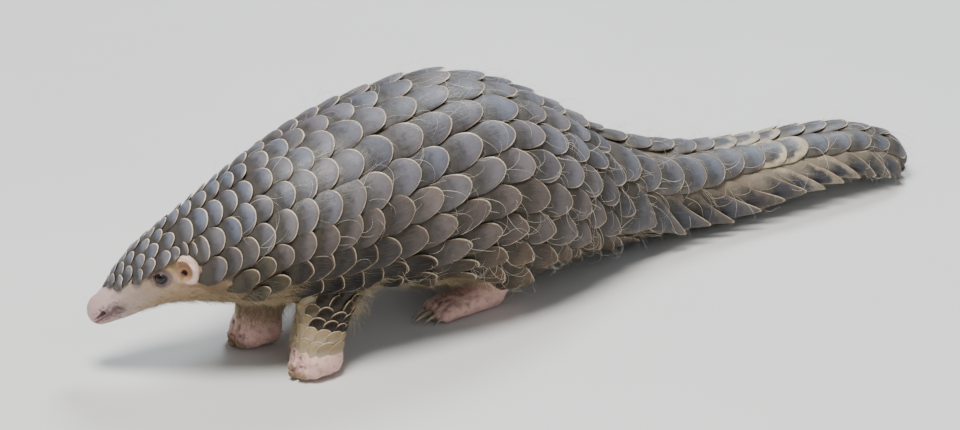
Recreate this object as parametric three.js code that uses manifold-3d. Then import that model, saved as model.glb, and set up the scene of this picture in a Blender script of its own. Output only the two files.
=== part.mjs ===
// Chinese pangolin (Manis pentadactyla), a still life-size model.
// Millimetres, +Z up. The nose points to -Y, the tail to +Y, the animal's left side to +X.
// The outline is the outline of the animal with its scales: every section is measured to the scale tips.
import * as THREE from 'three';
import { mergeVertices } from 'three/addons/utils/BufferGeometryUtils.js';
import Module from 'manifold-3d';

const wasm = await Module();
wasm.setup();

// ---------------------------------------------------------------- driving dimensions
const GAP = 0.4;             // gap between neighbouring pieces
const CUT = 0.35;            // clearance of a piece round what sits in it
const SIDES = 24;            // sides of a body section
const NOSE_ROUND = 9;        // length over which the nose rounds off
const TIP_ROUND = 26;        // length over which the tail tip rounds off
const SHIFT = [1.3, -77.1];  // moves the whole animal so that its box is centred over the origin

// Sections of the body from nose to tail tip: centre x, y, z, half width, height above and below the
// centre, and the roundness of the upper and lower half (1 is an ellipse, lower is squarer).
const BODY = [
  { at: 'nose',        c: [-44.8, -283.8,  46.2], w: 10.5, up: 10.0, dn: 10.0, ru: 1.00, rd: 1.00 },
  { at: 'lips',        c: [-37.8, -274.5,  52.2], w: 12.2, up: 12.6, dn: 11.2, ru: 1.00, rd: 1.00 },
  { at: 'muzzle',      c: [-30.3, -264.5,  59.8], w: 16.0, up: 18.0, dn: 14.0, ru: 1.00, rd: 1.00 },
  { at: 'cheek',       c: [-23.1, -253.5,  70.0], w: 21.2, up: 23.5, dn: 18.0, ru: 1.00, rd: 1.00 },
  { at: 'eyes',        c: [-15.0, -240.5,  80.0], w: 26.2, up: 30.0, dn: 22.5, ru: 1.00, rd: 1.00 },
  { at: 'ears',        c: [ -7.0, -225.5,  87.0], w: 30.0, up: 37.5, dn: 28.5, ru: 1.00, rd: 1.00 },
  { at: 'nape',        c: [  0.5, -207.0,  93.0], w: 37.0, up: 45.0, dn: 36.5, ru: 1.00, rd: 1.00 },
  { at: 'neck',        c: [  7.5, -180.0, 100.0], w: 49.0, up: 54.0, dn: 48.5, ru: 1.00, rd: 0.88 },
  { at: 'shoulders',   c: [ 12.0, -145.0, 108.0], w: 60.0, up: 61.0, dn: 56.5, ru: 1.00, rd: 0.75 },
  { at: 'chest',       c: [ 11.5, -106.5, 112.0], w: 69.0, up: 69.0, dn: 59.0, ru: 1.00, rd: 0.66 },
  { at: 'ribs',        c: [  6.0,  -56.0, 109.0], w: 79.0, up: 77.0, dn: 66.5, ru: 1.00, rd: 0.60 },
  { at: 'mid back',    c: [ -0.5,    0.0,  99.0], w: 86.0, up: 84.0, dn: 71.0, ru: 1.00, rd: 0.58 },
  { at: 'loin',        c: [ -4.0,   49.0,  84.0], w: 84.0, up: 78.0, dn: 65.5, ru: 1.00, rd: 0.58 },
  { at: 'hips',        c: [ -7.0,   94.4,  69.0], w: 75.0, up: 65.0, dn: 57.5, ru: 1.00, rd: 0.62 },
  { at: 'rump',        c: [ -7.2,  137.0,  54.5], w: 63.0, up: 52.0, dn: 47.5, ru: 1.00, rd: 0.70 },
  { at: 'tail root',   c: [ -6.0,  176.5,  45.5], w: 53.0, up: 42.5, dn: 43.0, ru: 1.00, rd: 0.80 },
  { at: 'tail 1/6',    c: [ -3.6,  214.7,  38.5], w: 47.5, up: 36.0, dn: 39.0, ru: 1.10, rd: 0.90 },
  { at: 'tail 2/6',    c: [  0.0,  261.0,  32.5], w: 44.0, up: 30.5, dn: 33.3, ru: 1.15, rd: 0.90 },
  { at: 'tail 3/6',    c: [  4.0,  306.6,  31.5], w: 40.5, up: 26.5, dn: 29.0, ru: 1.20, rd: 0.90 },
  { at: 'tail 4/6',    c: [ 10.0,  350.6,  34.0], w: 36.0, up: 22.5, dn: 22.0, ru: 1.20, rd: 0.95 },
  { at: 'tail 5/6',    c: [ 16.0,  390.5,  32.5], w: 32.0, up: 19.5, dn: 20.0, ru: 1.20, rd: 1.00 },
  { at: 'tail bend',   c: [ 20.8,  419.0,  23.5], w: 27.5, up: 17.0, dn: 19.0, ru: 1.15, rd: 1.00 },
  { at: 'tail tip',    c: [ 24.4,  440.5,  12.5], w: 22.5, up: 14.0, dn: 13.0, ru: 1.10, rd: 1.00 },
];

// Pieces of the body: name, distance along the spine where it ends, number of rings in it.
const BODY_PIECES = [
  { name: 'head',       end: 97,  rings: 13, color: 0xd9b9a2, rough: 0.6 },
  { name: 'neck',       end: 150, rings: 4,  color: 0x4d4a48, rough: 0.5 },
  { name: 'chest',      end: 225, rings: 5,  color: 0x4d4a48, rough: 0.5 },
  { name: 'trunk_front', end: 300, rings: 4, color: 0x4f4b47, rough: 0.5 },
  { name: 'trunk_rear', end: 375, rings: 4,  color: 0x4f4b47, rough: 0.5 },
  { name: 'rump',       end: 455, rings: 5,  color: 0x504b46, rough: 0.5 },
  { name: 'tail_1',     end: 530, rings: 5,  color: 0x55504a, rough: 0.5 },
  { name: 'tail_2',     end: 600, rings: 4,  color: 0x5a544c, rough: 0.5 },
  { name: 'tail_3',     end: 675, rings: 5,  color: 0x6e665a, rough: 0.5 },
  { name: 'tail_4',     end: Infinity, rings: 9, color: 0x57524b, rough: 0.5 },
];

// Fore leg from the shoulder down: section centres relative to the foot, half width, front, back.
const FORE = [
  { d: [-25.0, 36.5, 108.0], w: 20.0, up: 28.0, dn: 26.0 },
  { d: [-20.0, 32.5,  88.0], w: 26.0, up: 35.0, dn: 32.0 },
  { d: [-13.0, 23.0,  65.5], w: 25.0, up: 31.0, dn: 27.0 },
  { d: [ -7.0, 14.0,  52.5], w: 22.5, up: 25.5, dn: 21.5 },
  { d: [ -3.5,  7.5,  40.0], w: 20.0, up: 21.5, dn: 18.5 },
  { d: [ -1.0,  3.0,  28.0], w: 18.0, up: 19.0, dn: 17.2 },
  { d: [  0.0,  0.5,  16.0], w: 17.2, up: 18.2, dn: 16.8 },
  { d: [  0.0,  0.0,   6.0], w: 17.2, up: 18.2, dn: 16.8 },
];
// Fist of the fore foot, from the knuckles back.
const FIST = [
  { d: [0, -20.0, 10.2], w: 16.5, up: 10.0, dn: 11.5 },
  { d: [0, -10.0, 11.2], w: 17.8, up: 11.5, dn: 12.2 },
  { d: [0,   0.0, 12.0], w: 18.2, up: 12.5, dn: 12.8 },
  { d: [0,   9.0, 11.5], w: 16.5, up: 11.5, dn: 12.3 },
  { d: [0,  16.5, 10.5], w: 14.0, up: 10.0, dn: 11.5 },
];
// Hind leg from the thigh down, relative to the ankle's y and the body's middle.
const HIND = [
  { d: [33.0, 50.0, 88.0], w: 26.0, up: 40.0, dn: 42.0 },
  { d: [43.0, 36.0, 66.0], w: 31.0, up: 42.0, dn: 46.0 },
  { d: [44.0, 27.0, 46.0], w: 27.0, up: 33.0, dn: 36.0 },
  { d: [40.0, 25.0, 30.0], w: 20.0, up: 22.0, dn: 21.0 },
  { d: [37.0, 24.0, 18.0], w: 15.5, up: 15.5, dn: 12.5 },
  { d: [36.0, 24.0,  8.0], w: 13.5, up: 14.0, dn: 11.0 },
];
// Sole of the hind foot, from the heel to the toes.
const SOLE = [
  { d: [36.5,  34.5,  8.5], w: 12.0, up: 11.0, dn: 10.0 },
  { d: [35.5,  20.0, 10.0], w: 13.5, up: 12.0, dn: 11.2 },
  { d: [34.5,   2.0,  8.5], w: 14.2, up: 11.0, dn: 10.0 },
  { d: [33.8, -12.0,  7.5], w: 15.5, up:  9.0, dn:  8.8 },
  { d: [33.2, -23.0,  6.5], w: 16.0, up:  7.5, dn:  7.7 },
  { d: [33.0, -29.0,  5.8], w: 15.5, up:  6.5, dn:  7.0 },
];
const FORE_LEFT = { x: 53.0, y: -146.5 };
const FORE_RIGHT = { x: -16.3, y: -156.0 };
const HIND_MID_X = -3, HIND_LEFT_Y = 0, HIND_RIGHT_Y = 30;
const REACH = 0.48, REACH_BACK = 1.2;        // the right fore leg against the left: inward and back
const WRIST_Z = 17, ANKLE_Z = 19;           // level at which a leg ends and its foot begins

const EYE = { along: 67.3, angle: 76.4, r: 5.0, sink: 3.0 };                    // eyeball
const EAR = { along: 83.7, angle: 76.8, halfLen: 4.8, halfAngle: 12.8, lean: 3.6, rim: 2.7, out: 2.6, open: 140 };  // C-shaped rim
const NOSTRIL = { along: 12.5, angle: 87, r: 1.6, deep: 0.4 };

// Claws: offset across the foot, length, root radius, height of the root.
const FORE_CLAWS = [
  { n: 1, x: -12.5, root: [ -9.0, 5.5], len: 15, r: 2.3 },
  { n: 2, x:  -7.0, root: [-14.0, 4.6], len: 27, r: 3.0 },
  { n: 3, x:   0.0, root: [-16.0, 4.4], len: 39, r: 3.9 },
  { n: 4, x:   7.2, root: [-14.0, 4.6], len: 29, r: 3.2 },
  { n: 5, x:  12.8, root: [ -9.0, 5.5], len: 15, r: 2.3 },
];
const HIND_CLAWS = [
  { n: 1, x: -11.8, root: [-23.0, 6.2], len: 10, r: 2.0 },
  { n: 2, x:  -6.4, root: [-27.5, 6.4], len: 14, r: 2.4 },
  { n: 3, x:   0.0, root: [-29.5, 6.5], len: 16, r: 2.7 },
  { n: 4, x:   6.4, root: [-27.5, 6.4], len: 14, r: 2.4 },
  { n: 5, x:  11.8, root: [-23.0, 6.2], len: 10, r: 2.0 },
];

// ---------------------------------------------------------------- lofts
const V = (x, y, z) => new THREE.Vector3(x, y, z);

// A body swept along a smooth centre line, with a section of its own at every point of it.
class Loft {
  constructor(rows, up, r0 = 0, r1 = 0) {
    this.P = rows.map(s => [...s.c, s.w, s.up, s.dn, s.ru ?? 1, s.rd ?? 1]);
    this.up = up; this.r0 = r0; this.r1 = r1;
    this.t = [0];
    for (let i = 1; i < this.P.length; i++) {
      const a = this.P[i - 1], b = this.P[i];
      this.t.push(this.t[i - 1] + Math.hypot(b[0] - a[0], b[1] - a[1], b[2] - a[2]));
    }
    this.L = this.t.at(-1);
    const n = this.P.length, slope = (i, k) => (this.P[i + 1][k] - this.P[i][k]) / (this.t[i + 1] - this.t[i]);
    this.m = this.P.map((row, i) => row.map((_, k) => {
      if (i === 0) return slope(0, k);
      if (i === n - 1) return slope(n - 2, k);
      const h0 = this.t[i] - this.t[i - 1], h1 = this.t[i + 1] - this.t[i];
      return (slope(i - 1, k) * h1 + slope(i, k) * h0) / (h0 + h1);
    }));
  }
  at(q) {
    q = Math.min(Math.max(q, 0), this.L);
    let i = 0;
    while (i < this.t.length - 2 && this.t[i + 1] <= q) i++;
    const h = this.t[i + 1] - this.t[i], u = (q - this.t[i]) / h;
    const a = 2 * u ** 3 - 3 * u ** 2 + 1, b = u ** 3 - 2 * u ** 2 + u, c = 3 * u ** 2 - 2 * u ** 3, d = u ** 3 - u ** 2;
    const v = this.P[i].map((p, k) => a * p + b * h * this.m[i][k] + c * this.P[i + 1][k] + d * h * this.m[i + 1][k]);
    let e = 1;
    if (this.r0 > 0) e *= Math.sqrt(Math.max(0, 1 - Math.max(0, 1 - q / this.r0) ** 2));
    if (this.r1 > 0) e *= Math.sqrt(Math.max(0, 1 - Math.max(0, 1 - (this.L - q) / this.r1) ** 2));
    v[3] *= e; v[4] *= e; v[5] *= e;
    return v;
  }
  frame(q) {
    const a = this.at(Math.max(q - 2, 0)), b = this.at(Math.min(q + 2, this.L));
    const T = V(b[0] - a[0], b[1] - a[1], b[2] - a[2]).normalize();
    const A = T.clone().cross(this.up).normalize();
    return { T, A, N: A.clone().cross(T) };
  }
  // a point of the surface: angle 0 is the upper side, 90 degrees the A side; off moves it inward
  surf(q, ang, off = 0) {
    const v = this.at(q), { A, N } = this.frame(q), c = Math.cos(ang), s = Math.sin(ang);
    const b = (c > 0 ? v[4] : v[5]) - off, p = c > 0 ? v[6] : v[7];
    return V(v[0], v[1], v[2]).addScaledVector(A, (v[3] - off) * s)
      .addScaledVector(N, b * Math.sign(c) * Math.abs(c) ** p);
  }
  // closed geometry between two distances: a cylinder whose rings are laid on the sections
  geometry(q0, q1, rings, sides, off = 0) {
    const g = new THREE.CylinderGeometry(1, 1, 1, sides, rings, false), p = g.attributes.position;
    const lo = Math.max(q0, this.r0 > 0 ? 0.25 : 0), hi = Math.min(q1, this.L - (this.r1 > 0 ? 0.6 : 0));
    for (let i = 0; i < p.count; i++) {
      let f = 0.5 - p.getY(i);                                     // 0 at the start, 1 at the end
      if (lo < this.r0) f = lo === 0.25 ? 0.45 * f + 0.55 * f * f : f;   // closer rings where an end rounds off
      if (hi > this.L - this.r1 && this.r1 > 0) f = 1 - (0.4 * (1 - f) + 0.6 * (1 - f) ** 2);
      const q = lo + f * (hi - lo), r = Math.hypot(p.getX(i), p.getZ(i));
      if (r < 1e-6) { const v = this.at(q); p.setXYZ(i, v[0], v[1], v[2]); continue; }
      const w = this.surf(q, Math.atan2(p.getX(i), p.getZ(i)), off);
      p.setXYZ(i, w.x, w.y, w.z);
    }
    return g;
  }
}

// ---------------------------------------------------------------- solids
function solid(geometry) {
  const g = geometry.index ? geometry.clone() : geometry;
  g.deleteAttribute('normal'); g.deleteAttribute('uv');
  const m = mergeVertices(g, 1e-4);
  const make = tri => new wasm.Manifold(new wasm.Mesh({
    numProp: 3, vertProperties: Float32Array.from(m.attributes.position.array), triVerts: tri }));
  let tri = Uint32Array.from(m.index.array), s = make(tri);
  if (s.volume() < 0) {
    tri = tri.map((_, i) => m.index.array[i - (i % 3) + [0, 2, 1][i % 3]]);
    s = make(tri);
  }
  return s;
}
const largest = s => s.decompose().reduce((a, b) => (b.volume() > a.volume() ? b : a));
function ball(r, x, y, z, seg = 12, sx = 1, sy = 1, sz = 1) {
  const g = new THREE.SphereGeometry(r, seg, Math.round(seg * 0.7));
  g.scale(sx, sy, sz); g.translate(x, y, z);
  return solid(g);
}
function box(x0, x1, y0, y1, z0, z1) {
  const g = new THREE.BoxGeometry(x1 - x0, y1 - y0, z1 - z0);
  g.translate((x0 + x1) / 2, (y0 + y1) / 2, (z0 + z1) / 2);
  return solid(g);
}
const FLOOR = box(-300, 300, -500, 700, -80, 0);        // all that stands is cut flat at this level
const below = z => box(-300, 300, -500, 700, -80, z);
const above = z => box(-300, 300, -500, 700, z, 300);

const body = new Loft(BODY, V(0, 0, 1), NOSE_ROUND, TIP_ROUND);
const place = (rows, x, y, side = 1) => rows.map(s => ({ ...s, c: [x + side * s.d[0], y + s.d[1], s.d[2]] }));

const pieces = [];
const add = (name, s, color, rough, metal = 0) => pieces.push({ name, s, color, rough, metal });

// body, in its lengths
let from = 0;
const bodyParts = {};
for (const b of BODY_PIECES) {
  const end = Math.min(b.end, body.L);
  const g = body.geometry(from === 0 ? 0 : from + GAP / 2, end === body.L ? body.L : end - GAP / 2, b.rings, SIDES);
  bodyParts[b.name] = { s: solid(g).subtract(FLOOR), ...b };
  from = end;
}
// the same body a little larger, to cut what leans on it
const bodyCut = solid(body.geometry(60, 520, 24, SIDES, -CUT));
const headCut = solid(body.geometry(0, 110, 18, SIDES, -CUT));

// eyes in their sockets
for (const [side, sgn] of [['left', 1], ['right', -1]]) {
  const on = body.surf(EYE.along, sgn * THREE.MathUtils.degToRad(EYE.angle));
  const mid = body.surf(EYE.along, sgn * THREE.MathUtils.degToRad(EYE.angle), EYE.sink);
  bodyParts.head.s = bodyParts.head.s.subtract(ball(EYE.r + CUT, mid.x, mid.y, mid.z, 10));
  add(`eye_${side}`, ball(EYE.r, mid.x, mid.y, mid.z, 12), 0x0b0a0c, 0.12);
}
// nostrils
for (const sgn of [1, -1]) {
  const n = body.surf(NOSTRIL.along, sgn * THREE.MathUtils.degToRad(NOSTRIL.angle), NOSTRIL.deep);
  bodyParts.head.s = bodyParts.head.s.subtract(ball(NOSTRIL.r, n.x, n.y, n.z, 7, 1.3, 1.5, 1));
}
// ears: a thick C-shaped rim round the ear hole, open to the front
for (const [side, sgn] of [['left', 1], ['right', -1]]) {
  const N = 8, rows = [];
  for (let i = 0; i <= N; i++) {
    const t = THREE.MathUtils.degToRad(EAR.open - 2 * EAR.open * i / N), e = Math.sin(Math.PI * (i + 0.6) / (N + 1.2));
    const w = body.surf(EAR.along + EAR.halfLen * Math.cos(t) + EAR.lean * Math.sin(t),
      sgn * THREE.MathUtils.degToRad(EAR.angle - EAR.halfAngle * Math.sin(t)), -EAR.out * e);
    const r = EAR.rim * (0.55 + 0.5 * e);
    rows.push({ c: [w.x, w.y, w.z], w: r, up: r * 1.25, dn: r * 1.25 });
  }
  const mid = body.surf(EAR.along, sgn * THREE.MathUtils.degToRad(EAR.angle));
  const inn = body.surf(EAR.along, sgn * THREE.MathUtils.degToRad(EAR.angle), 10);
  const rim = new Loft(rows, mid.clone().sub(inn).normalize(), 2.5, 2.5);
  const s = solid(rim.geometry(0, rim.L, 10, 7)).subtract(headCut);
  add(`ear_${side}`, largest(s), 0xd8b49c, 0.6);
}

// legs and feet: the leg comes out of the body, the foot is the part below the wrist or ankle, and the
// claws come out of the toes
function limb(side, kind, legRows, footRows, level, claws, toe) {
  const shank = new Loft(legRows, V(0, -1, 0), 20, 10), foot = new Loft(footRows, V(0, 0, 1), 11, 7);
  const flesh = grow => {
    let s = solid(shank.geometry(0, shank.L, 8, 14, -grow)).add(solid(foot.geometry(0, foot.L, 6, 14, -grow)));
    for (const c of claws) s = s.add(toe(c, grow));
    return s;
  };
  const whole = flesh(0).subtract(bodyCut).subtract(FLOOR), round = flesh(CUT);
  add(`${kind}leg_${side}`, largest(whole.subtract(below(level + GAP / 2))), 0x6b6048, 0.6);
  add(`${kind === 'fore' ? 'fore' : 'hind'}foot_${side}`, largest(whole.subtract(above(level - GAP / 2))), 0xd2a898, 0.6);
  for (const c of claws) add(`claw_${kind}_${side}_${c.n}`, largest(c.horn.subtract(round).subtract(FLOOR)), 0x8a7660, 0.45);
}
const clawRows = (x, y, root, len, r, dir, sag, tipZ) => [0, 0.3, 0.6, 0.85, 1].map(f => {
  const k = Math.max(r * (1 - 0.86 * f ** 1.4), 0.5);
  return { c: [x, y + root[0] + dir * len * f, root[1] + (tipZ - root[1]) * f + sag * Math.sin(Math.PI * f)], w: k * 0.8, up: k, dn: k * 0.9 };
});
for (const [side, sgn, at] of [['left', 1, FORE_LEFT], ['right', -1, FORE_RIGHT]]) {
  const claws = FORE_CLAWS.map(k => ({ ...k, x: at.x + sgn * k.x,
    horn: solid(new Loft(clawRows(at.x + sgn * k.x, at.y, k.root, k.len, k.r, 1, 0.8, 1.6), V(0, 0, 1), 1.5).geometry(0, 1e3, 4, 6)) }));
  const toe = (c, grow) => ball(c.r * 1.75 + grow, at.x + (c.x - at.x) * 1.02, at.y + c.root[0] - 1.5, 7.4, 6, 1, 1.25, 1);
  // the right fore leg reaches further in to its shoulder, as the neck is turned to that side
  const rows = place(sgn > 0 ? FORE : FORE.map(s => ({ ...s, d: [s.d[0] * REACH, s.d[1] * REACH_BACK, s.d[2]] })), at.x, at.y, sgn);
  limb(side, 'fore', rows, place(FIST, at.x, at.y), WRIST_Z, claws, toe);
}
for (const [side, sgn, y] of [['left', 1, HIND_LEFT_Y], ['right', -1, HIND_RIGHT_Y]]) {
  const cx = HIND_MID_X + sgn * SOLE.at(-1).d[0];
  const claws = HIND_CLAWS.map(k => ({ ...k, x: cx + sgn * k.x,
    horn: solid(new Loft(clawRows(cx + sgn * k.x, y, k.root, k.len, k.r, -1, 1.6, 1.5), V(0, 0, 1), 1.5).geometry(0, 1e3, 4, 6)) }));
  const toe = (c, grow) => ball(c.r * 1.6 + grow, cx + (c.x - cx) * 1.02, y + c.root[0] - 0.5, 5.6, 6, 1, 1.35, 1);
  limb(side, 'hind', place(HIND, HIND_MID_X, y, sgn), place(SOLE, HIND_MID_X, y, sgn), ANKLE_Z, claws, toe);
}
for (const b of Object.values(bodyParts)) add(b.name, b.s, b.color, b.rough);

// ---------------------------------------------------------------- scene graph
const pangolin = new THREE.Group();
for (const { name, s, color, rough, metal } of pieces) {
  const m = s.getMesh(), g = new THREE.BufferGeometry();
  g.setAttribute('position', new THREE.Float32BufferAttribute(m.vertProperties, 3));
  g.setIndex(new THREE.Uint32BufferAttribute(m.triVerts, 1));
  const mesh = new THREE.Mesh(g, new THREE.MeshStandardMaterial({ color, roughness: rough, metalness: metal }));
  mesh.name = name;
  mesh.position.set(SHIFT[0], SHIFT[1], 0);
  pangolin.add(mesh);
}
export default pangolin;
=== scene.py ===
import math
import bpy
import numpy as np
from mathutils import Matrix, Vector
from mathutils.bvhtree import BVHTree


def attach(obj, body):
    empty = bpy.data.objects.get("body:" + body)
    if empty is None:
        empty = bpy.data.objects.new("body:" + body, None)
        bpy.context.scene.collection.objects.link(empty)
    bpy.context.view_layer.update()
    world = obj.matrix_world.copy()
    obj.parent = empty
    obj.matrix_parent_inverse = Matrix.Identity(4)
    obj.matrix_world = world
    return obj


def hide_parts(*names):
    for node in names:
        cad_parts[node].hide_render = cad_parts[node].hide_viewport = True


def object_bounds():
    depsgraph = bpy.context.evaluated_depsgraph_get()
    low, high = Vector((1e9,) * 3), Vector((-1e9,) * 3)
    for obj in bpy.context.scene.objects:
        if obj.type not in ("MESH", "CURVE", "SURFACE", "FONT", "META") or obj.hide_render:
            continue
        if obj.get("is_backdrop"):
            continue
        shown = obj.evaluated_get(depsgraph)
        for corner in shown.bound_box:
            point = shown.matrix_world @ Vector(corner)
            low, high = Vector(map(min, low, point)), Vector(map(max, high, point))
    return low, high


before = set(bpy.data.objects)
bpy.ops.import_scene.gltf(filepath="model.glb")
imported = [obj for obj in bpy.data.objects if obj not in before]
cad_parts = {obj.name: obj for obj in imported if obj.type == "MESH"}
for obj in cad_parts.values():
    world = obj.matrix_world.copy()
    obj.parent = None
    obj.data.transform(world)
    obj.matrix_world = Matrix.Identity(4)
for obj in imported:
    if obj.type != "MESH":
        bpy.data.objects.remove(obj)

cad_low, cad_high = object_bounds()
CAD_BOX = [[float(v) for v in cad_low], [float(v) for v in cad_high]]
RAD = math.pi / 180
OX, OY = 0.0013, -0.0771          # the whole animal is moved so that its box is centred
rng = np.random.default_rng(11)

# =====================================================================================
# Shape of the body: the same sections as in the solids, in millimetres
# =====================================================================================
BODY = [  # x, y, z, half width, up, down, roundness above, below
    (-44.8, -283.8, 46.2, 10.5, 10.0, 10.0, 1.00, 1.00),
    (-37.8, -274.5, 52.2, 12.2, 12.6, 11.2, 1.00, 1.00),
    (-30.3, -264.5, 59.8, 16.0, 18.0, 14.0, 1.00, 1.00),
    (-23.1, -253.5, 70.0, 21.2, 23.5, 18.0, 1.00, 1.00),
    (-15.0, -240.5, 80.0, 26.2, 30.0, 22.5, 1.00, 1.00),
    (-7.0, -225.5, 87.0, 30.0, 37.5, 28.5, 1.00, 1.00),
    (0.5, -207.0, 93.0, 37.0, 45.0, 36.5, 1.00, 1.00),
    (7.5, -180.0, 100.0, 49.0, 54.0, 48.5, 1.00, 0.88),
    (12.0, -145.0, 108.0, 60.0, 61.0, 56.5, 1.00, 0.75),
    (11.5, -106.5, 112.0, 69.0, 69.0, 59.0, 1.00, 0.66),
    (6.0, -56.0, 109.0, 79.0, 77.0, 66.5, 1.00, 0.60),
    (-0.5, 0.0, 99.0, 86.0, 84.0, 71.0, 1.00, 0.58),
    (-4.0, 49.0, 84.0, 84.0, 78.0, 65.5, 1.00, 0.58),
    (-7.0, 94.4, 69.0, 75.0, 65.0, 57.5, 1.00, 0.62),
    (-7.2, 137.0, 54.5, 63.0, 52.0, 47.5, 1.00, 0.70),
    (-6.0, 176.5, 45.5, 53.0, 42.5, 43.0, 1.00, 0.80),
    (-3.6, 214.7, 38.5, 47.5, 36.0, 39.0, 1.10, 0.90),
    (0.0, 261.0, 32.5, 44.0, 30.5, 33.3, 1.15, 0.90),
    (4.0, 306.6, 31.5, 40.5, 26.5, 29.0, 1.20, 0.90),
    (10.0, 350.6, 34.0, 36.0, 22.5, 22.0, 1.20, 0.95),
    (16.0, 390.5, 32.5, 32.0, 19.5, 20.0, 1.20, 1.00),
    (20.8, 419.0, 23.5, 27.5, 17.0, 19.0, 1.15, 1.00),
    (24.4, 440.5, 12.5, 22.5, 14.0, 13.0, 1.10, 1.00),
]
FORE = [(-25.0, 36.5, 108.0, 20.0, 28.0, 26.0), (-20.0, 32.5, 88.0, 26.0, 35.0, 32.0), (-13.0, 23.0, 65.5, 25.0, 31.0, 27.0),
        (-7.0, 14.0, 52.5, 22.5, 25.5, 21.5), (-3.5, 7.5, 40.0, 20.0, 21.5, 18.5), (-1.0, 3.0, 28.0, 18.0, 19.0, 17.2),
        (0.0, 0.5, 16.0, 17.2, 18.2, 16.8), (0.0, 0.0, 6.0, 17.2, 18.2, 16.8)]
FIST = [(0, -20.0, 10.2, 16.5, 10.0, 11.5), (0, -10.0, 11.2, 17.8, 11.5, 12.2), (0, 0.0, 12.0, 18.2, 12.5, 12.8),
        (0, 9.0, 11.5, 16.5, 11.5, 12.3), (0, 16.5, 10.5, 14.0, 10.0, 11.5)]
HIND = [(33.0, 50.0, 88.0, 26.0, 40.0, 42.0), (43.0, 36.0, 66.0, 31.0, 42.0, 46.0), (44.0, 27.0, 46.0, 27.0, 33.0, 36.0),
        (40.0, 25.0, 30.0, 20.0, 22.0, 21.0), (37.0, 24.0, 18.0, 15.5, 15.5, 12.5), (36.0, 24.0, 8.0, 13.5, 14.0, 11.0)]
SOLE = [(36.5, 34.5, 8.5, 12.0, 11.0, 10.0), (35.5, 20.0, 10.0, 13.5, 12.0, 11.2), (34.5, 2.0, 8.5, 14.2, 11.0, 10.0),
        (33.8, -12.0, 7.5, 15.5, 9.0, 8.8), (33.2, -23.0, 6.5, 16.0, 7.5, 7.7), (33.0, -29.0, 5.8, 15.5, 6.5, 7.0)]
REACH, REACH_BACK = 0.48, 1.2
FORE_AT = {"left": (53.0, -146.5), "right": (-16.3, -156.0)}
HIND_MID_X, HIND_Y = -3.0, {"left": 0.0, "right": 30.0}
EYE = dict(along=0.0673, angle=76.4 * RAD, r=0.0050, sink=0.0030)
EAR = dict(along=0.0837, angle=76.8 * RAD, half_len=0.0048, half_angle=12.8 * RAD, lean=0.0036, rim=0.0027, out=0.0026)
FORE_CLAWS = [(-12.5, -9.0, 5.5, 15, 2.3), (-7.0, -14.0, 4.6, 27, 3.0), (0.0, -16.0, 4.4, 39, 3.9), (7.2, -14.0, 4.6, 29, 3.2), (12.8, -9.0, 5.5, 15, 2.3)]
HIND_CLAWS = [(-11.8, -23.0, 6.2, 10, 2.0), (-6.4, -27.5, 6.4, 14, 2.4), (0.0, -29.5, 6.5, 16, 2.7), (6.4, -27.5, 6.4, 14, 2.4), (11.8, -23.0, 6.2, 10, 2.0)]


def unit(v):
    return v / np.maximum(np.linalg.norm(v, axis=-1, keepdims=True), 1e-12)


def smooth(e0, e1, x):
    t = np.clip((x - e0) / (e1 - e0), 0, 1)
    return t * t * (3 - 2 * t)


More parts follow.
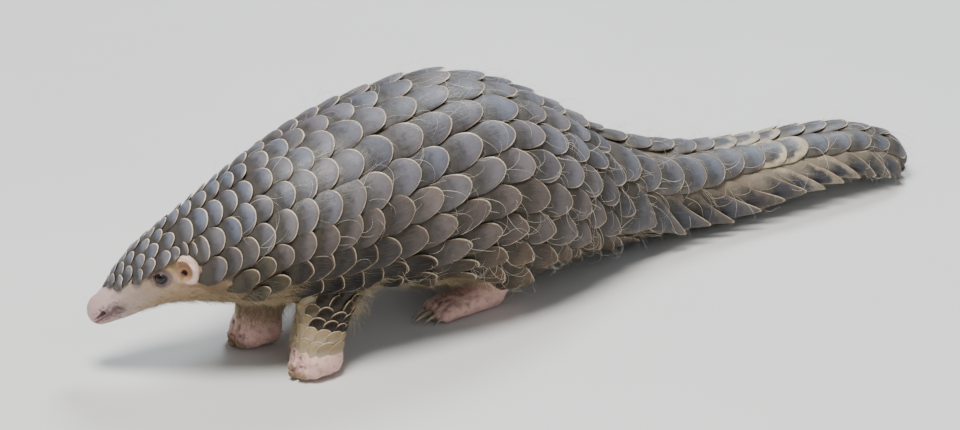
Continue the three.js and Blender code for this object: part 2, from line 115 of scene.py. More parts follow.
class Loft:
    """A body swept along a smooth centre line, with a section of its own at every point of it."""

    def __init__(s, rows, up, r0=0.0, r1=0.0, shift=True):
        P = np.array([tuple(r) + (1.0, 1.0) * (len(r) == 6) for r in rows], float)
        P[:, :6] /= 1000.0
        if shift:
            P[:, 0] += OX
            P[:, 1] += OY
        d = np.linalg.norm(np.diff(P[:, :3], axis=0), axis=1)
        t = np.concatenate([[0], np.cumsum(d)])
        m = np.zeros_like(P)
        h = np.diff(t)[:, None]
        dl = np.diff(P, axis=0) / h
        m[1:-1] = (dl[:-1] * h[1:] + dl[1:] * h[:-1]) / (h[1:] + h[:-1])
        m[0], m[-1] = dl[0], dl[-1]
        s.L, s.r0, s.r1 = t[-1], r0, r1
        s.n = int(s.L / 0.001) + 2
        s.q = np.linspace(0, s.L, s.n)

        def herm(q):
            q = np.clip(q, 0, s.L)
            i = np.clip(np.searchsorted(t, q, side="right") - 1, 0, len(t) - 2)
            hh = t[i + 1] - t[i]
            u = ((q - t[i]) / hh)[:, None]
            hh = hh[:, None]
            return (2 * u**3 - 3 * u**2 + 1) * P[i] + (u**3 - 2 * u**2 + u) * hh * m[i] + (-2 * u**3 + 3 * u**2) * P[i + 1] + (u**3 - u**2) * hh * m[i + 1]

        v = herm(s.q)
        T = unit(herm(s.q + 0.002)[:, :3] - herm(s.q - 0.002)[:, :3])
        A = unit(np.cross(T, np.array(up, float)))
        N = np.cross(A, T)
        s.tab = np.concatenate([v[:, :3], T, A, N, v[:, 3:]], axis=1)

    def look(s, q):
        x = np.clip(np.asarray(q, float), 0, s.L) / s.L * (s.n - 1)
        i = np.clip(x.astype(int), 0, s.n - 2)
        f = (x - i)[..., None]
        return s.tab[i] * (1 - f) + s.tab[i + 1] * f

    def ends(s, q):
        e = np.ones_like(np.asarray(q, float))
        if s.r0:
            e = e * np.sqrt(np.clip(1 - np.clip(1 - q / s.r0, 0, 1) ** 2, 0, 1))
        if s.r1:
            e = e * np.sqrt(np.clip(1 - np.clip(1 - (s.L - q) / s.r1, 0, 1) ** 2, 0, 1))
        return e

    def surf(s, q, ang, off=0.0):
        q = np.clip(np.asarray(q, float), 0, s.L)
        v, e = s.look(q), s.ends(q)
        c, sn = np.cos(ang), np.sin(ang)
        up = c > 0
        a = v[..., 12] * e - off
        b = np.where(up, v[..., 13], v[..., 14]) * e - off
        p = np.where(up, v[..., 15], v[..., 16])
        return v[..., :3] + v[..., 6:9] * (a * sn)[..., None] + v[..., 9:12] * (b * np.sign(c) * np.abs(c) ** p)[..., None]

    def normal(s, q, ang):
        e = 0.0008
        q = np.clip(np.asarray(q, float), 0.0004, s.L - 0.0004)
        dq = s.surf(q + e, ang) - s.surf(q - e, ang)
        da = s.surf(q, ang + 0.02) - s.surf(q, ang - 0.02)
        n = unit(np.cross(dq, da))
        out = s.surf(q, ang) - s.look(q)[..., :3]
        return n * np.sign(np.sum(n * out, axis=-1, keepdims=True) + 1e-12)

    def coords(s, P):
        """distance along, angle, and a signed distance to the outline, for any points"""
        k = slice(0, s.n, max(1, s.n // 70))
        C = s.tab[k, :3]
        q = np.empty(len(P))
        for a in range(0, len(P), 40000):
            d = ((P[a:a + 40000, None, :] - C[None]) ** 2).sum(-1)
            q[a:a + 40000] = s.q[k][np.argmin(d, axis=1)]
        for _ in range(5):
            v = s.look(q)
            q = np.clip(q + 0.85 * np.sum((P - v[:, :3]) * v[:, 3:6], axis=1), 0, s.L)
        v = s.look(q)
        d = P - v[:, :3]
        ax = np.sum(d * v[:, 3:6], axis=1)
        x, y = np.sum(d * v[:, 6:9], axis=1), np.sum(d * v[:, 9:12], axis=1)
        qr = q + ax
        up = y > 0
        a, b, p = v[:, 12], np.where(up, v[:, 13], v[:, 14]), np.where(up, v[:, 15], v[:, 16])
        X, Y = x / a, np.abs(y) / b + 1e-9
        w0 = np.clip(1 - qr / s.r0, 0, None) if s.r0 else np.clip(-qr / 0.002, 0, None)
        w1 = np.clip(1 - (s.L - qr) / s.r1, 0, None) if s.r1 else np.clip((qr - s.L) / 0.002, 0, None)
        g = X**2 + Y ** (2 / p) + w0**2 + w1**2
        rho = np.sqrt(g) + 1e-9
        gx, gy = 2 * X / a, (2 / p) * Y ** (2 / p - 1) / b
        gz = 2 * w0 / (s.r0 or 0.002) - 2 * w1 / (s.r1 or 0.002)
        f = (rho - 1) * 2 * rho / (np.sqrt(gx**2 + gy**2 + gz**2) + 1e-9)
        ang = np.arctan2(x / a, np.sign(y) * Y ** (1 / p))
        return q, ang, f

    def mesh(s, rings, sides, off=0.0):
        k = np.linspace(0, 1, rings)
        lo, hi = (0.0004 if s.r0 else 0.0), s.L - (0.0004 if s.r1 else 0.0)
        q = lo + (hi - lo) * (0.5 * k + 0.25 * (1 - np.cos(np.pi * k)))
        a = np.arange(sides) / sides * 2 * np.pi
        V = s.surf(q[:, None] * np.ones(sides), a[None] * np.ones((rings, 1)), off).reshape(-1, 3)
        i, j = np.meshgrid(np.arange(rings - 1), np.arange(sides), indexing="ij")
        j2 = (j + 1) % sides
        F = np.stack([i * sides + j, i * sides + j2, (i + 1) * sides + j2, (i + 1) * sides + j], -1).reshape(-1, 4)
        c0, c1 = len(V), len(V) + 1
        V = np.vstack([V, s.look(q[:1])[:, :3], s.look(q[-1:])[:, :3]])
        jj = np.arange(sides)
        t0 = np.stack([np.full(sides, c0), (jj + 1) % sides, jj], -1)
        t1 = np.stack([np.full(sides, c1), (rings - 1) * sides + jj, (rings - 1) * sides + (jj + 1) % sides], -1)
        return V, F, np.vstack([t0, t1])


body = Loft(BODY, (0, 0, 1), 0.009, 0.026)


def place(rows, x, y, side=1, fx=1.0, fy=1.0):
    return [(x + side * r[0] * fx, y + r[1] * fy) + tuple(r[2:]) for r in rows]


legs, feet = {}, {}
for side, sgn in (("left", 1), ("right", -1)):
    x, y = FORE_AT[side]
    f = (1.0, 1.0) if sgn > 0 else (REACH, REACH_BACK)
    legs["fore_" + side] = Loft(place(FORE, x, y, sgn, *f), (0, -1, 0), 0.020, 0.010)
    feet["fore_" + side] = Loft(place(FIST, x, y), (0, 0, 1), 0.011, 0.007)
    legs["hind_" + side] = Loft(place(HIND, HIND_MID_X, HIND_Y[side], sgn), (0, -1, 0), 0.020, 0.010)
    feet["hind_" + side] = Loft(place(SOLE, HIND_MID_X, HIND_Y[side], sgn), (0, 0, 1), 0.011, 0.007)


# =====================================================================================
# The skin: one closed surface fitted to the outline, less the depth of the coat
# =====================================================================================
def arc_rate(q, ang):
    """how far the surface runs for one radian round the body"""
    return np.linalg.norm(body.surf(q, ang + 0.01) - body.surf(q, ang - 0.01), axis=-1) / 0.02


AQ, AF, FR = np.linspace(0.0, body.L, 391), np.linspace(0.0, math.pi, 361), np.linspace(0, 1, 401)
_ring = body.surf(AQ[:, None] * np.ones((1, 361)), AF[None] * np.ones((391, 1)))
ARC = np.concatenate([np.zeros((391, 1)), np.cumsum(np.linalg.norm(np.diff(_ring, axis=1), axis=2), axis=1)], 1)
HALF = ARC[:, -1]
TURN = np.array([np.interp(FR * h, row, AF) for h, row in zip(HALF, ARC)])


def between(table, i, j):
    i, j = np.clip(i, 0, table.shape[0] - 1.001), np.clip(j, 0, table.shape[1] - 1.001)
    a, b = i.astype(int), j.astype(int)
    u, v = i - a, j - b
    return (table[a, b] * (1 - v) + table[a, b + 1] * v) * (1 - u) + (table[a + 1, b] * (1 - v) + table[a + 1, b + 1] * v) * u


def arc_of(q, ang):
    """how far round the body a place lies from the middle of the back, in metres; left is positive"""
    q, ang = np.broadcast_arrays(np.asarray(q, float), np.asarray(ang, float))
    return np.sign(ang) * between(ARC, q / body.L * 390, np.abs(ang) / math.pi * 360)


def angle_of(q, s):
    q, s = np.broadcast_arrays(np.asarray(q, float), np.asarray(s, float))
    f = np.clip(np.abs(s) / np.interp(q, AQ, HALF), 0, 1.35)
    a = between(TURN, q / body.L * 390, np.where(f > 1, 2 - f, f) * 400)
    return np.sign(s) * np.where(f > 1, 2 * math.pi - a, a)


BARE = np.array([(0.0, 0.0), (18.0, 0.0), (22.8, 12.0), (33.7, 30.0), (45.2, 51.0), (53.5, 59.0), (67.3, 60.5), (79.8, 58.0), (93.3, 80.0),
                 (105.0, 98.0), (125.0, 124.0), (150.0, 136.0), (200.0, 142.0), (250.0, 144.0), (330.0, 148.0), (400.0, 142.0), (440.0, 150.0), (480.0, 181.0), (780.0, 181.0)])


def bare_edge(q):
    """angle, in degrees, beyond which the body has no scales"""
    return np.interp(np.asarray(q) * 1000, BARE[:, 0], BARE[:, 1])


def bare_at(q, ang):
    """how far, in degrees, a place lies inside the bare skin; the ear is kept clear as well"""
    qm, deg = np.asarray(q) * 1000, np.abs(np.degrees(ang))
    ear = 14 * (1 - np.hypot((qm - 84.0) / 9.8, (deg - 80.0) / 21.0))
    return np.maximum(deg - bare_edge(q), ear)


def coat_depth(q, ang):
    qm, deg = np.asarray(q) * 1000, np.abs(np.degrees(ang))
    deep = np.interp(qm, [0, 30, 90, 150, 230, 450, 560, 700, 770], [0.4, 2.3, 3.2, 4.6, 6.6, 6.4, 5.2, 4.2, 2.8])
    scaled = smooth(4.0, -4.0, deg - bare_edge(q)) * smooth(18, 30, qm)
    thin = np.interp(qm, [0, 90, 160, 230], [0.25, 0.35, 1.5, 2.2])
    return (thin + (deep - thin) * scaled) / 1000


def smin(a, b, ga, gb, k):
    h = np.clip(0.5 + 0.5 * (b - a) / k, 0, 1)
    return b + (a - b) * h - k * h * (1 - h), unit(gb + (ga - gb) * h[:, None])


def smax(a, b, ga, gb, k):
    f, g = smin(-a, -b, -ga, -gb, k)
    return -f, -g


def loft_field(lf, P, pad=0.03):
    f = np.full(len(P), 0.2)
    g = np.tile([0.0, 0.0, 1.0], (len(P), 1))
    lo, hi = lf.box
    near = np.all((P > lo - pad) & (P < hi + pad), axis=1)
    if not near.any():
        return f, g, None, None, near
    Q = P[near]
    q, ang, fv = lf.coords(Q)
    v = lf.look(q)
    d = Q - v[:, :3]
    x, y = np.sum(d * v[:, 6:9], axis=1), np.sum(d * v[:, 9:12], axis=1)
    up = y > 0
    a, b, p = v[:, 12], np.where(up, v[:, 13], v[:, 14]), np.where(up, v[:, 15], v[:, 16])
    qr = q + np.sum(d * v[:, 3:6], axis=1)
    w0 = np.clip(1 - qr / lf.r0, 0, None) if lf.r0 else np.clip(-qr / 0.002, 0, None)
    w1 = np.clip(1 - (lf.L - qr) / lf.r1, 0, None) if lf.r1 else np.clip((qr - lf.L) / 0.002, 0, None)
    slope_a = (lf.look(q + 0.002)[:, 12] - lf.look(q - 0.002)[:, 12]) / 0.004
    gx, gy = 2 * (x / a) / a, np.sign(y) * (2 / p) * (np.abs(y) / b + 1e-9) ** (2 / p - 1) / b
    gz = -2 * w0 / (lf.r0 or 0.002) + 2 * w1 / (lf.r1 or 0.002) - 2 * slope_a / a
    g[near] = unit(v[:, 6:9] * gx[:, None] + v[:, 9:12] * gy[:, None] + v[:, 3:6] * gz[:, None])
    f[near] = fv
    return f, g, q, ang, near


for lf in [body, *legs.values(), *feet.values()]:
    V = lf.mesh(24, 24)[0]
    lf.box = (V.min(0), V.max(0))


def tube_field(P, rows, pad=0.02):
    """distance to a chain of round cones"""
    f = np.full(len(P), 0.2)
    g = np.tile([0.0, 0.0, 1.0], (len(P), 1))
    near = np.all((P > rows[:, :3].min(0) - pad) & (P < rows[:, :3].max(0) + pad), axis=1)
    Q = P[near]
    best, bg = np.full(len(Q), 0.2), np.tile([0.0, 0.0, 1.0], (len(Q), 1))
    for r0, r1 in zip(rows[:-1], rows[1:]):
        ab = r1[:3] - r0[:3]
        t = np.clip(((Q - r0[:3]) @ ab) / (ab @ ab), 0, 1)
        d = Q - (r0[:3] + t[:, None] * ab)
        n = np.linalg.norm(d, axis=1)
        v = n - (r0[3] + (r1[3] - r0[3]) * t)
        m = v < best
        best[m], bg[m] = v[m], d[m] / (n[m, None] + 1e-9)
    f[near], g[near] = best, bg
    return f, g


def eye_frame(sgn):
    c = body.surf(np.array(EYE["along"]), np.array(sgn * EYE["angle"]))
    n = body.normal(np.array(EYE["along"]), np.array(sgn * EYE["angle"]))
    fwd = body.surf(np.array(EYE["along"] - 0.004), np.array(sgn * EYE["angle"])) - c
    fwd = unit(fwd - n * (fwd @ n))
    up = unit(np.cross(n, fwd) * sgn)
    if up[2] < 0:
        up = -up
    return c - n * EYE["sink"], n, fwd, up


def at(q, deg, sgn, lift=0.0):
    q, a = np.array(q / 1000), np.array(sgn * deg * RAD)
    return body.surf(q, a) + body.normal(q, a) * lift / 1000


TOES = []
for name, lf in feet.items():
    side = name.split("_")[1]
    sgn = 1 if side == "left" else -1
    if name.startswith("fore"):
        cx, cy = FORE_AT[side]
        for x, root, z, ln, r in FORE_CLAWS:
            TOES.append((name, np.array([cx + x * 1.02, cy + root - 1.5, 7.4]) / 1000 + [OX, OY, 0], r * 1.75 / 1000, 1.25))
    else:
        cx, cy = HIND_MID_X + sgn * 33.0, HIND_Y[side]
        for x, root, z, ln, r in HIND_CLAWS:
            TOES.append((name, np.array([cx + x * 1.02, cy + root - 0.5, 5.6]) / 1000 + [OX, OY, 0], r * 1.6 / 1000, 1.35))

CLEFTS = []
for name, lf in feet.items():
    side = name.split("_")[1]
    sgn = 1 if side == "left" else -1
    if name.startswith("fore"):
        cx, cy = FORE_AT[side]
        for x, top in ((-9.3, 15.5), (-3.6, 20.5), (3.8, 20.5), (9.8, 15.5)):
            rows = [(cx + x * 0.86, cy - 12.0, top + 1.6, 1.3), (cx + x, cy - 19.5, top - 4.0, 1.5), (cx + x, cy - 21.8, 7.0, 1.5), (cx + x, cy - 20.5, 1.0, 1.3)]
            CLEFTS.append((np.array(rows) / 1000 + [OX, OY, 0, 0], 0.0014))
        for x, y, z, r in ((-5.5, -17.0, 19.5, 1.3), (6.5, -19.8, 13.0, 1.1)):
            c = np.array([cx + x, cy + y, z, r]) / 1000 + [OX, OY, 0, 0]
            CLEFTS.append((np.array([c - [0.0009, 0, 0, 0.0002], c + [0.0009, 0, 0, 0]]), 0.0006))
    else:
        cx, cy = HIND_MID_X + sgn * 33.0, HIND_Y[side]
        for x in (-9.2, -3.2, 3.2, 9.2):
            rows = [(cx + x * 0.9, cy - 12.0, 17.4, 0.8), (cx + x, cy - 20.0, 14.4, 1.2), (cx + x, cy - 27.0, 12.2, 1.5), (cx + x, cy - 33.0, 6.5, 1.6), (cx + x, cy - 33.5, 1.5, 1.5)]
            CLEFTS.append((np.array(rows) / 1000 + [OX, OY, 0, 0], 0.0016))
NOSTRILS = {s: np.array([(*at(7.4, 93.0, s, 0.25), 0.0005), (*at(9.6, 91.5, s, 0.15), 0.0008), (*at(12.6, 88.5, s, 0.0), 0.0012), (*at(15.2, 84.5, s, -0.4), 0.0017)]) for s in (1, -1)}
MOUTH = {s: np.array([(*at(3.5, 122, s, 0.5), 0.0009), (*at(8.0, 108, s, 0.35), 0.0010), (*at(14.0, 101, s, 0.3), 0.0010),
                      (*at(20.0, 96, s, 0.35), 0.0009), (*at(25.0, 91, s, 0.5), 0.0008)]) for s in (1, -1)}


def field(P, fine=True):
    f, g, q, ang, near = loft_field(body, P, 0.05)
    inset = np.zeros(len(P))
    inset[near] = coat_depth(q, ang)
    f = f + inset
    for name, lf in legs.items():
        fl, gl, ql, al, nl = loft_field(lf, P)
        if ql is not None:
            fl[nl] += np.interp(P[nl][:, 2], [0.020, 0.034, 0.06], [0.0002, 0.0018, 0.0030] if name.startswith("fore") else [0.0002, 0.0008, 0.0020])
        f, g = smin(f, fl, g, gl, 0.012)
    for name, lf in feet.items():
        fl, gl, ql, al, nl = loft_field(lf, P)
        for tn, c, r, k in TOES:
            if tn != name:
                continue
            d = (P - c) / [1, k, 1]
            n = np.linalg.norm(d, axis=1)
            fl, gl = smin(fl, n - r, gl, unit(d / [1, k, 1]), 0.0016)
        f, g = smin(f, fl, g, gl, 0.006)
    if fine:
        for s in (1, -1):
            for rows, k in ((NOSTRILS[s], 0.0006), (MOUTH[s], 0.0005)):
                fc, gc = tube_field(P, rows)
                f, g = smax(f, -fc, g, -gc, k)
        for rows, k in CLEFTS:
            fc, gc = tube_field(P, rows, 0.008)
            f, g = smax(f, -fc, g, -gc, k)
    fz = -P[:, 2]
    f, g = smax(f, fz, g, np.tile([0.0, 0.0, -1.0], (len(P), 1)), 0.0010)
    return f, g


def new_mesh(name, V, F, smooth_it=True):
    me = bpy.data.meshes.new(name)
    V = np.asarray(V, np.float32)
    if isinstance(F, np.ndarray):
        n, k = F.shape
        me.vertices.add(len(V))
        me.vertices.foreach_set("co", V.ravel())
        me.loops.add(n * k)
        me.loops.foreach_set("vertex_index", F.astype(np.int32).ravel())
        me.polygons.add(n)
        me.polygons.foreach_set("loop_start", np.arange(0, n * k, k, dtype=np.int32))
        me.polygons.foreach_set("loop_total", np.full(n, k, np.int32))
        if smooth_it:
            me.polygons.foreach_set("use_smooth", np.ones(n, bool))
        me.update(calc_edges=True)
        me.validate()
    else:
        me.from_pydata([tuple(map(float, v)) for v in V], [], [tuple(int(i) for i in f) for f in F])
        for p in me.polygons:
            p.use_smooth = smooth_it
    ob = bpy.data.objects.new(name, me)
    bpy.context.scene.collection.objects.link(ob)
    return ob


def remeshed():
    verts, faces, n = [], [], 0
    for lf, rings, sides in [(body, 220, 96)] + [(l, 40, 48) for l in legs.values()] + [(l, 28, 40) for l in feet.values()]:
        V, F, T = lf.mesh(rings, sides)
        verts.append(V)
        faces += [tuple(f + n) for f in F] + [tuple(t + n) for t in T]
        n += len(V)
    ob = new_mesh("raw", np.vstack(verts), faces)
    mod = ob.modifiers.new("join", "REMESH")
    mod.mode = "VOXEL"
    mod.voxel_size = 0.0026
    dg = bpy.context.evaluated_depsgraph_get()
    me = ob.evaluated_get(dg).to_mesh()
    me.calc_loop_triangles()
    V = np.empty(len(me.vertices) * 3, np.float32)
    me.vertices.foreach_get("co", V)
    T = np.empty(len(me.loop_triangles) * 3, np.int32)
    me.loop_triangles.foreach_get("vertices", T)
    ob.evaluated_get(dg).to_mesh_clear()
    bpy.data.objects.remove(ob)
    return V.reshape(-1, 3).astype(float), T.reshape(-1, 3)


def edge_table(T):
    E = np.sort(np.stack([T, np.roll(T, -1, axis=1)], -1).reshape(-1, 2), axis=1)
    U, inv = np.unique(E, axis=0, return_inverse=True)
    return U, inv.reshape(-1, 3)


def refine(V, T, want):
    """splits every edge longer than wanted at its middle, and the triangles with it"""
    U, inv = edge_table(T)
    ln = np.linalg.norm(V[U[:, 0]] - V[U[:, 1]], axis=1)
    cut = ln > 1.35 * want(0.5 * (V[U[:, 0]] + V[U[:, 1]]))
    if not cut.any():
        return V, T, 0
    mid = np.full(len(U), -1)
    mid[cut] = len(V) + np.arange(cut.sum())
    V2 = np.vstack([V, 0.5 * (V[U[cut, 0]] + V[U[cut, 1]])])
    m = mid[inv]
    k = (m >= 0).sum(1)
    out = [T[k == 0]]
    t, mm = T[k == 3], m[k == 3]
    out += [np.stack([t[:, 0], mm[:, 0], mm[:, 2]], 1), np.stack([mm[:, 0], t[:, 1], mm[:, 1]], 1), np.stack([mm[:, 2], mm[:, 1], t[:, 2]], 1), mm]
    for i in range(3):
        j, l = (i + 1) % 3, (i + 2) % 3
        s = (k == 1) & (m[:, i] >= 0)
        t, c = T[s], m[s, i]
        out += [np.stack([t[:, i], c, t[:, l]], 1), np.stack([c, t[:, j], t[:, l]], 1)]
        s = (k == 2) & (m[:, i] < 0)            # the edge i-j is whole
        t, c1, c2 = T[s], m[s, j], m[s, l]
        out += [np.stack([c1, t[:, l], c2], 1), np.stack([t[:, i], t[:, j], c1], 1), np.stack([t[:, i], c1, c2], 1)]
    return V2, np.vstack(out), int(cut.sum())


def relax(V, T, times, keep_normal=True):
    U, _ = edge_table(T)
    n = np.bincount(U.ravel(), minlength=len(V)).astype(float)[:, None]
    for _ in range(times):
        S = np.zeros_like(V)
        for a in range(3):
            S[:, a] = np.bincount(U[:, 0], V[U[:, 1], a], len(V)) + np.bincount(U[:, 1], V[U[:, 0], a], len(V))
        d = S / n - V
        if keep_normal:
            N = vertex_normals(V, T)
            d -= N * np.sum(d * N, axis=1, keepdims=True)
        V = V + 0.6 * d
    return V


def vertex_normals(V, T):
    fn = np.cross(V[T[:, 1]] - V[T[:, 0]], V[T[:, 2]] - V[T[:, 0]])
    N = np.zeros_like(V)
    for i in range(3):
        for a in range(3):
            N[:, a] += np.bincount(T[:, i], fn[:, a], len(V))
    return unit(N)


EYES = {s: eye_frame(s) for s in (1, -1)}
FACE_SPOTS = [(at(12, 87, s), 0.0055, 0.00042) for s in (1, -1)] + [(at(83.5, 77, s), 0.0145, 0.00068) for s in (1, -1)] + [(EYES[s][0], 0.0090, 0.00036) for s in (1, -1)]


def wanted(P):
    w = np.full(len(P), 0.0032)
    front = P[:, 1] < -0.19 - 0.0771 + 0.02
    w[front] = 0.0015
    near = P[:, 1] < -0.235 - 0.0771
    w[near] = np.minimum(w[near], 0.0010)
    w[P[:, 2] < 0.026] = 0.0012
    w[(P[:, 2] < 0.030) & (P[:, 1] > 0.0)] = 0.0040
    for c, r, k in FACE_SPOTS:
        d = np.linalg.norm(P - c, axis=1)
        w = np.minimum(w, k + np.clip(d - r, 0, None) * 0.25)
    return w


def fit(V, times):
    for i in range(times):
        f, g = field(V)
        V = V - g * np.clip(f, -0.004, 0.004)[:, None]
    return V


def lids(V):
    """the round bulge of the lids over each eyeball, and the opening between them"""
    for s, (c, n, fwd, up) in EYES.items():
        d = V - c
        x, y, z = d @ fwd, d @ up, d @ n
        m = (np.hypot(x, y) < 0.012) & (z > 0.0) & (z < 0.012)
        x, y, z = x[m], y[m], z[m]
        rho = np.hypot(x, y)
        x1, x2 = 0.82 * x + 0.57 * y, -0.57 * x + 0.82 * y
        r = EYE["r"]
        ball = np.sqrt(np.clip((r + 0.00045) ** 2 - rho**2, 0, None))
        k = 0.0010
        h = np.clip(0.5 + 0.5 * (z - ball) / k, 0, 1)
        zt = ball + (z - ball) * h + k * h * (1 - h)
        w = np.where(x1 > 0, 0.0053, 0.0042)
        tall = 0.0035 * (1 - 0.30 * smooth(0.0015, 0.0053, x1))
        border = np.sqrt((x1 / w) ** 2 + (x2 / tall) ** 2)
        delta = (border - 1) * 0.0037
        zt += 0.00028 * np.exp(-((delta - 0.0005) / 0.0005) ** 2)
        ring = delta + 0.0002 * np.sin(3 * np.arctan2(x2, x1) + s)
        fold = np.exp(-((ring - 0.0015) / 0.00030) ** 2) + 0.8 * np.exp(-((ring - 0.0026) / 0.00034) ** 2) + 0.5 * np.exp(-((ring - 0.0038) / 0.0004) ** 2)
        zt -= 0.00045 * fold * (0.75 + 0.25 * np.sin(6 * np.arctan2(x2, x1) + s))
        deep = np.sqrt(np.clip(r**2 - rho**2, 0, None)) - 0.0016
        t = smooth(0.00012, -0.00018, delta)
        zt = zt * (1 - t) + np.minimum(zt, deep) * t
        V[m] += n * (zt - z)[:, None]
    return V


def relief(c, n, fwd, up, V, reach):
    d = V - c
    x, y, z = d @ fwd, d @ up, d @ n
    return x, y, z, (np.hypot(x, y) < reach) & (z > -0.006) & (z < 0.010)


def ears(V):
    """the low curved rim of each ear, open towards the front, with a bowl and the ear hole inside it"""
    for s in (1, -1):
        c = at(83.7, 76.6, s)
        n = body.normal(np.array(0.0837), np.array(s * 76.6 * RAD))
        fwd = at(79.7, 76.6, s) - c
        fwd = unit(fwd - n * (fwd @ n))
        up = np.cross(n, fwd)
        up = up if up[2] > 0 else -up
        x, y, z, m = relief(c, n, fwd, up, V, 0.017)
        x, y = -x[m] * 1000, y[m] * 1000        # backwards and upwards, in millimetres
        out, inn = np.hypot((x - 1.5) / 8.3, (y + 0.9) / 11.7), np.hypot((x + 2.3) / 6.9, (y + 1.0) / 8.1)
        do, di = (1 - out) * 10.2, (inn - 1) * 7.4
        th = np.clip(do, 0, None) + np.clip(di, 0, None)
        w = np.clip(do, 0, None) / (th + 1e-6)
        on = smooth(-0.1, 0.3, do) * smooth(-0.1, 0.3, di)
        prof = np.clip(1 - np.abs(2 * w - 1) ** 3.0, 0, 1) ** 0.60 * on
        tall = 4.7 * smooth(0.0, 5.2, th) * (1 - 0.15 * smooth(2, -6, y))
        h = tall * prof * (0.86 + 0.14 * w)
        h = h - 1.9 * smooth(1.02, 0.62, inn) * smooth(-8.5, -3.0, x) * (1 - prof)
        front = np.hypot((x + 8.6) / 1.5, (y + 4.0) / 3.4)
        h = h + 1.1 * np.exp(-(front**2)) * (1 - prof)
        roll = np.hypot((x + 4.2) / 2.6, (y - 4.0) / 1.5)
        h = h + 0.8 * np.exp(-(roll**2)) * (1 - prof)
        hole = np.hypot((x + 2.4) / 1.25, (y + 2.8) / 1.5)
        h = h * smooth(0.9, 1.9, hole) - 4.8 * smooth(1.95, 0.95, hole)
        V[m] += n * (h / 1000)[:, None]
    return V


WAVES = [(rng.normal(size=3), rng.random() * 6.28) for _ in range(24)]


def ripple(P, wavelength):
    """an even, random swell"""
    out = np.zeros(len(P))
    for d, ph in WAVES:
        k = d / np.linalg.norm(d) * 2 * np.pi / (wavelength * (0.7 + 0.12 * np.linalg.norm(d)))
        out += np.sin(P @ k + ph)
    return out / math.sqrt(len(WAVES) / 2)


def folds(V, T):
    """soft unevenness and creases of bare skin"""
    N = vertex_normals(V, T)
    q, ang, f = body.coords(V)
    qm, deg = q * 1000, np.abs(np.degrees(ang))
    on_body = np.abs(f) < 0.008
    low = V[:, 2]
    bare = np.clip(smooth(-4, 3, bare_at(q, ang)) * on_body + (low < 0.030), 0, 1)
    eye = np.ones(len(V))
    for s in (1, -1):
        eye *= smooth(0.006, 0.009, np.linalg.norm(V - EYES[s][0], axis=1))
        eye *= smooth(0.002, 0.005, tube_field(V, NOSTRILS[s])[0])
    h = 0.16 * ripple(V, 0.0075) + 0.07 * ripple(V + 0.3, 0.0030)
    head = on_body * (qm < 60)
    # creases behind the corner of the mouth and over the snout, and rings round the throat
    h = h * np.where(head, 0.55, 1.0)
    for q0, a0, a1, w, dep in ((31, 80, 112, 1.0, 0.35), (35.5, 82, 116, 1.1, 0.30), (41, 84, 118, 1.3, 0.28), (21.5, 30, 74, 1.0, 0.16), (26.0, 34, 70, 1.2, 0.14)):
        bend = q0 + 3.0 * ((deg - 0.5 * (a0 + a1)) / 20) ** 2 * 0.5
        h -= dep * np.exp(-(((qm - bend) / w) ** 2)) * smooth(a0 - 5, a0 + 6, deg) * smooth(a1 + 5, a1 - 6, deg) * on_body
    h -= 0.22 * np.maximum(0, np.sin(qm / 5.5 * 2 * np.pi + 1.6 * np.sin(deg / 14.0))) ** 3 * smooth(96, 112, qm) * on_body * smooth(96, 110, deg)
    feet_h = 0.20 * np.maximum(0, np.sin(low * 1000 / 3.3 * 2 * np.pi + 2.2 * ripple(V, 0.012))) ** 2 * (low < 0.030) * (low > 0.003)
    h -= feet_h
    soft = smooth(0.0005, 0.004, low)
    return V + N * (h * bare * eye * soft / 1000)[:, None]


V, T = remeshed()
V = fit(V, 2)
for i in range(5):
    V, T, cuts = refine(V, T, wanted)
    V = fit(relax(V, T, 1), 1)
    if cuts < 50:
        break
V = fit(relax(V, T, 3), 2)
V = folds(V, T)
V = ears(lids(V))
for i in range(2):
    V, T, cuts = refine(V, T, lambda P: np.where(np.minimum(np.linalg.norm(P - FACE_SPOTS[2][0], axis=1), np.linalg.norm(P - FACE_SPOTS[3][0], axis=1)) < 0.0150, 0.00062,
                                                 np.where(np.minimum(np.linalg.norm(P - EYES[1][0], axis=1), np.linalg.norm(P - EYES[-1][0], axis=1)) < 0.0095, 0.00040, 1.0)))
near_ear = np.minimum(np.linalg.norm(V - FACE_SPOTS[2][0], axis=1), np.linalg.norm(V - FACE_SPOTS[3][0], axis=1)) < 0.0140
for i in range(3):
    S = relax(V, T, 1, False)
    V = np.where(near_ear[:, None], 0.45 * V + 0.55 * S, V)
V[:, 2] = np.maximum(V[:, 2], 0.0)
print("skin", len(V), len(T))
SKIN_V, SKIN_T = V, T


# =====================================================================================
# Scales: overlapping horny shields in staggered rows, each a thin closed shell
# =====================================================================================
UN = np.array([-1, -0.93, -0.72, -0.45, -0.15, 0.15, 0.45, 0.72, 0.93, 1.0])
VN = np.array([0.0, 0.22, 0.42, 0.54, 0.66, 0.77, 0.87, 0.955, 1.0])
PITCH = np.array([(28, 9.8), (60, 9.8), (88, 9.9), (95, 9.9), (115, 11.0), (150, 12.0), (185, 14.5), (210, 18.0), (235, 22.5), (262, 27.5), (290, 30.0), (320, 31.5),
                  (350, 28.5), (380, 26.0), (430, 25.5), (480, 25.0), (530, 25.0), (600, 23.5), (660, 20.5), (700, 18.5), (770, 17.5)])
QQ = np.linspace(0, 0.775, 1551)
UU = np.concatenate([[0], np.cumsum(0.0005 / (np.interp(QQ[:-1] + 0.00025, PITCH[:, 0] / 1000, PITCH[:, 1] / 1000)))])


def pitch(q):
    return np.interp(q * 1000, PITCH[:, 0], PITCH[:, 1]) / 1000


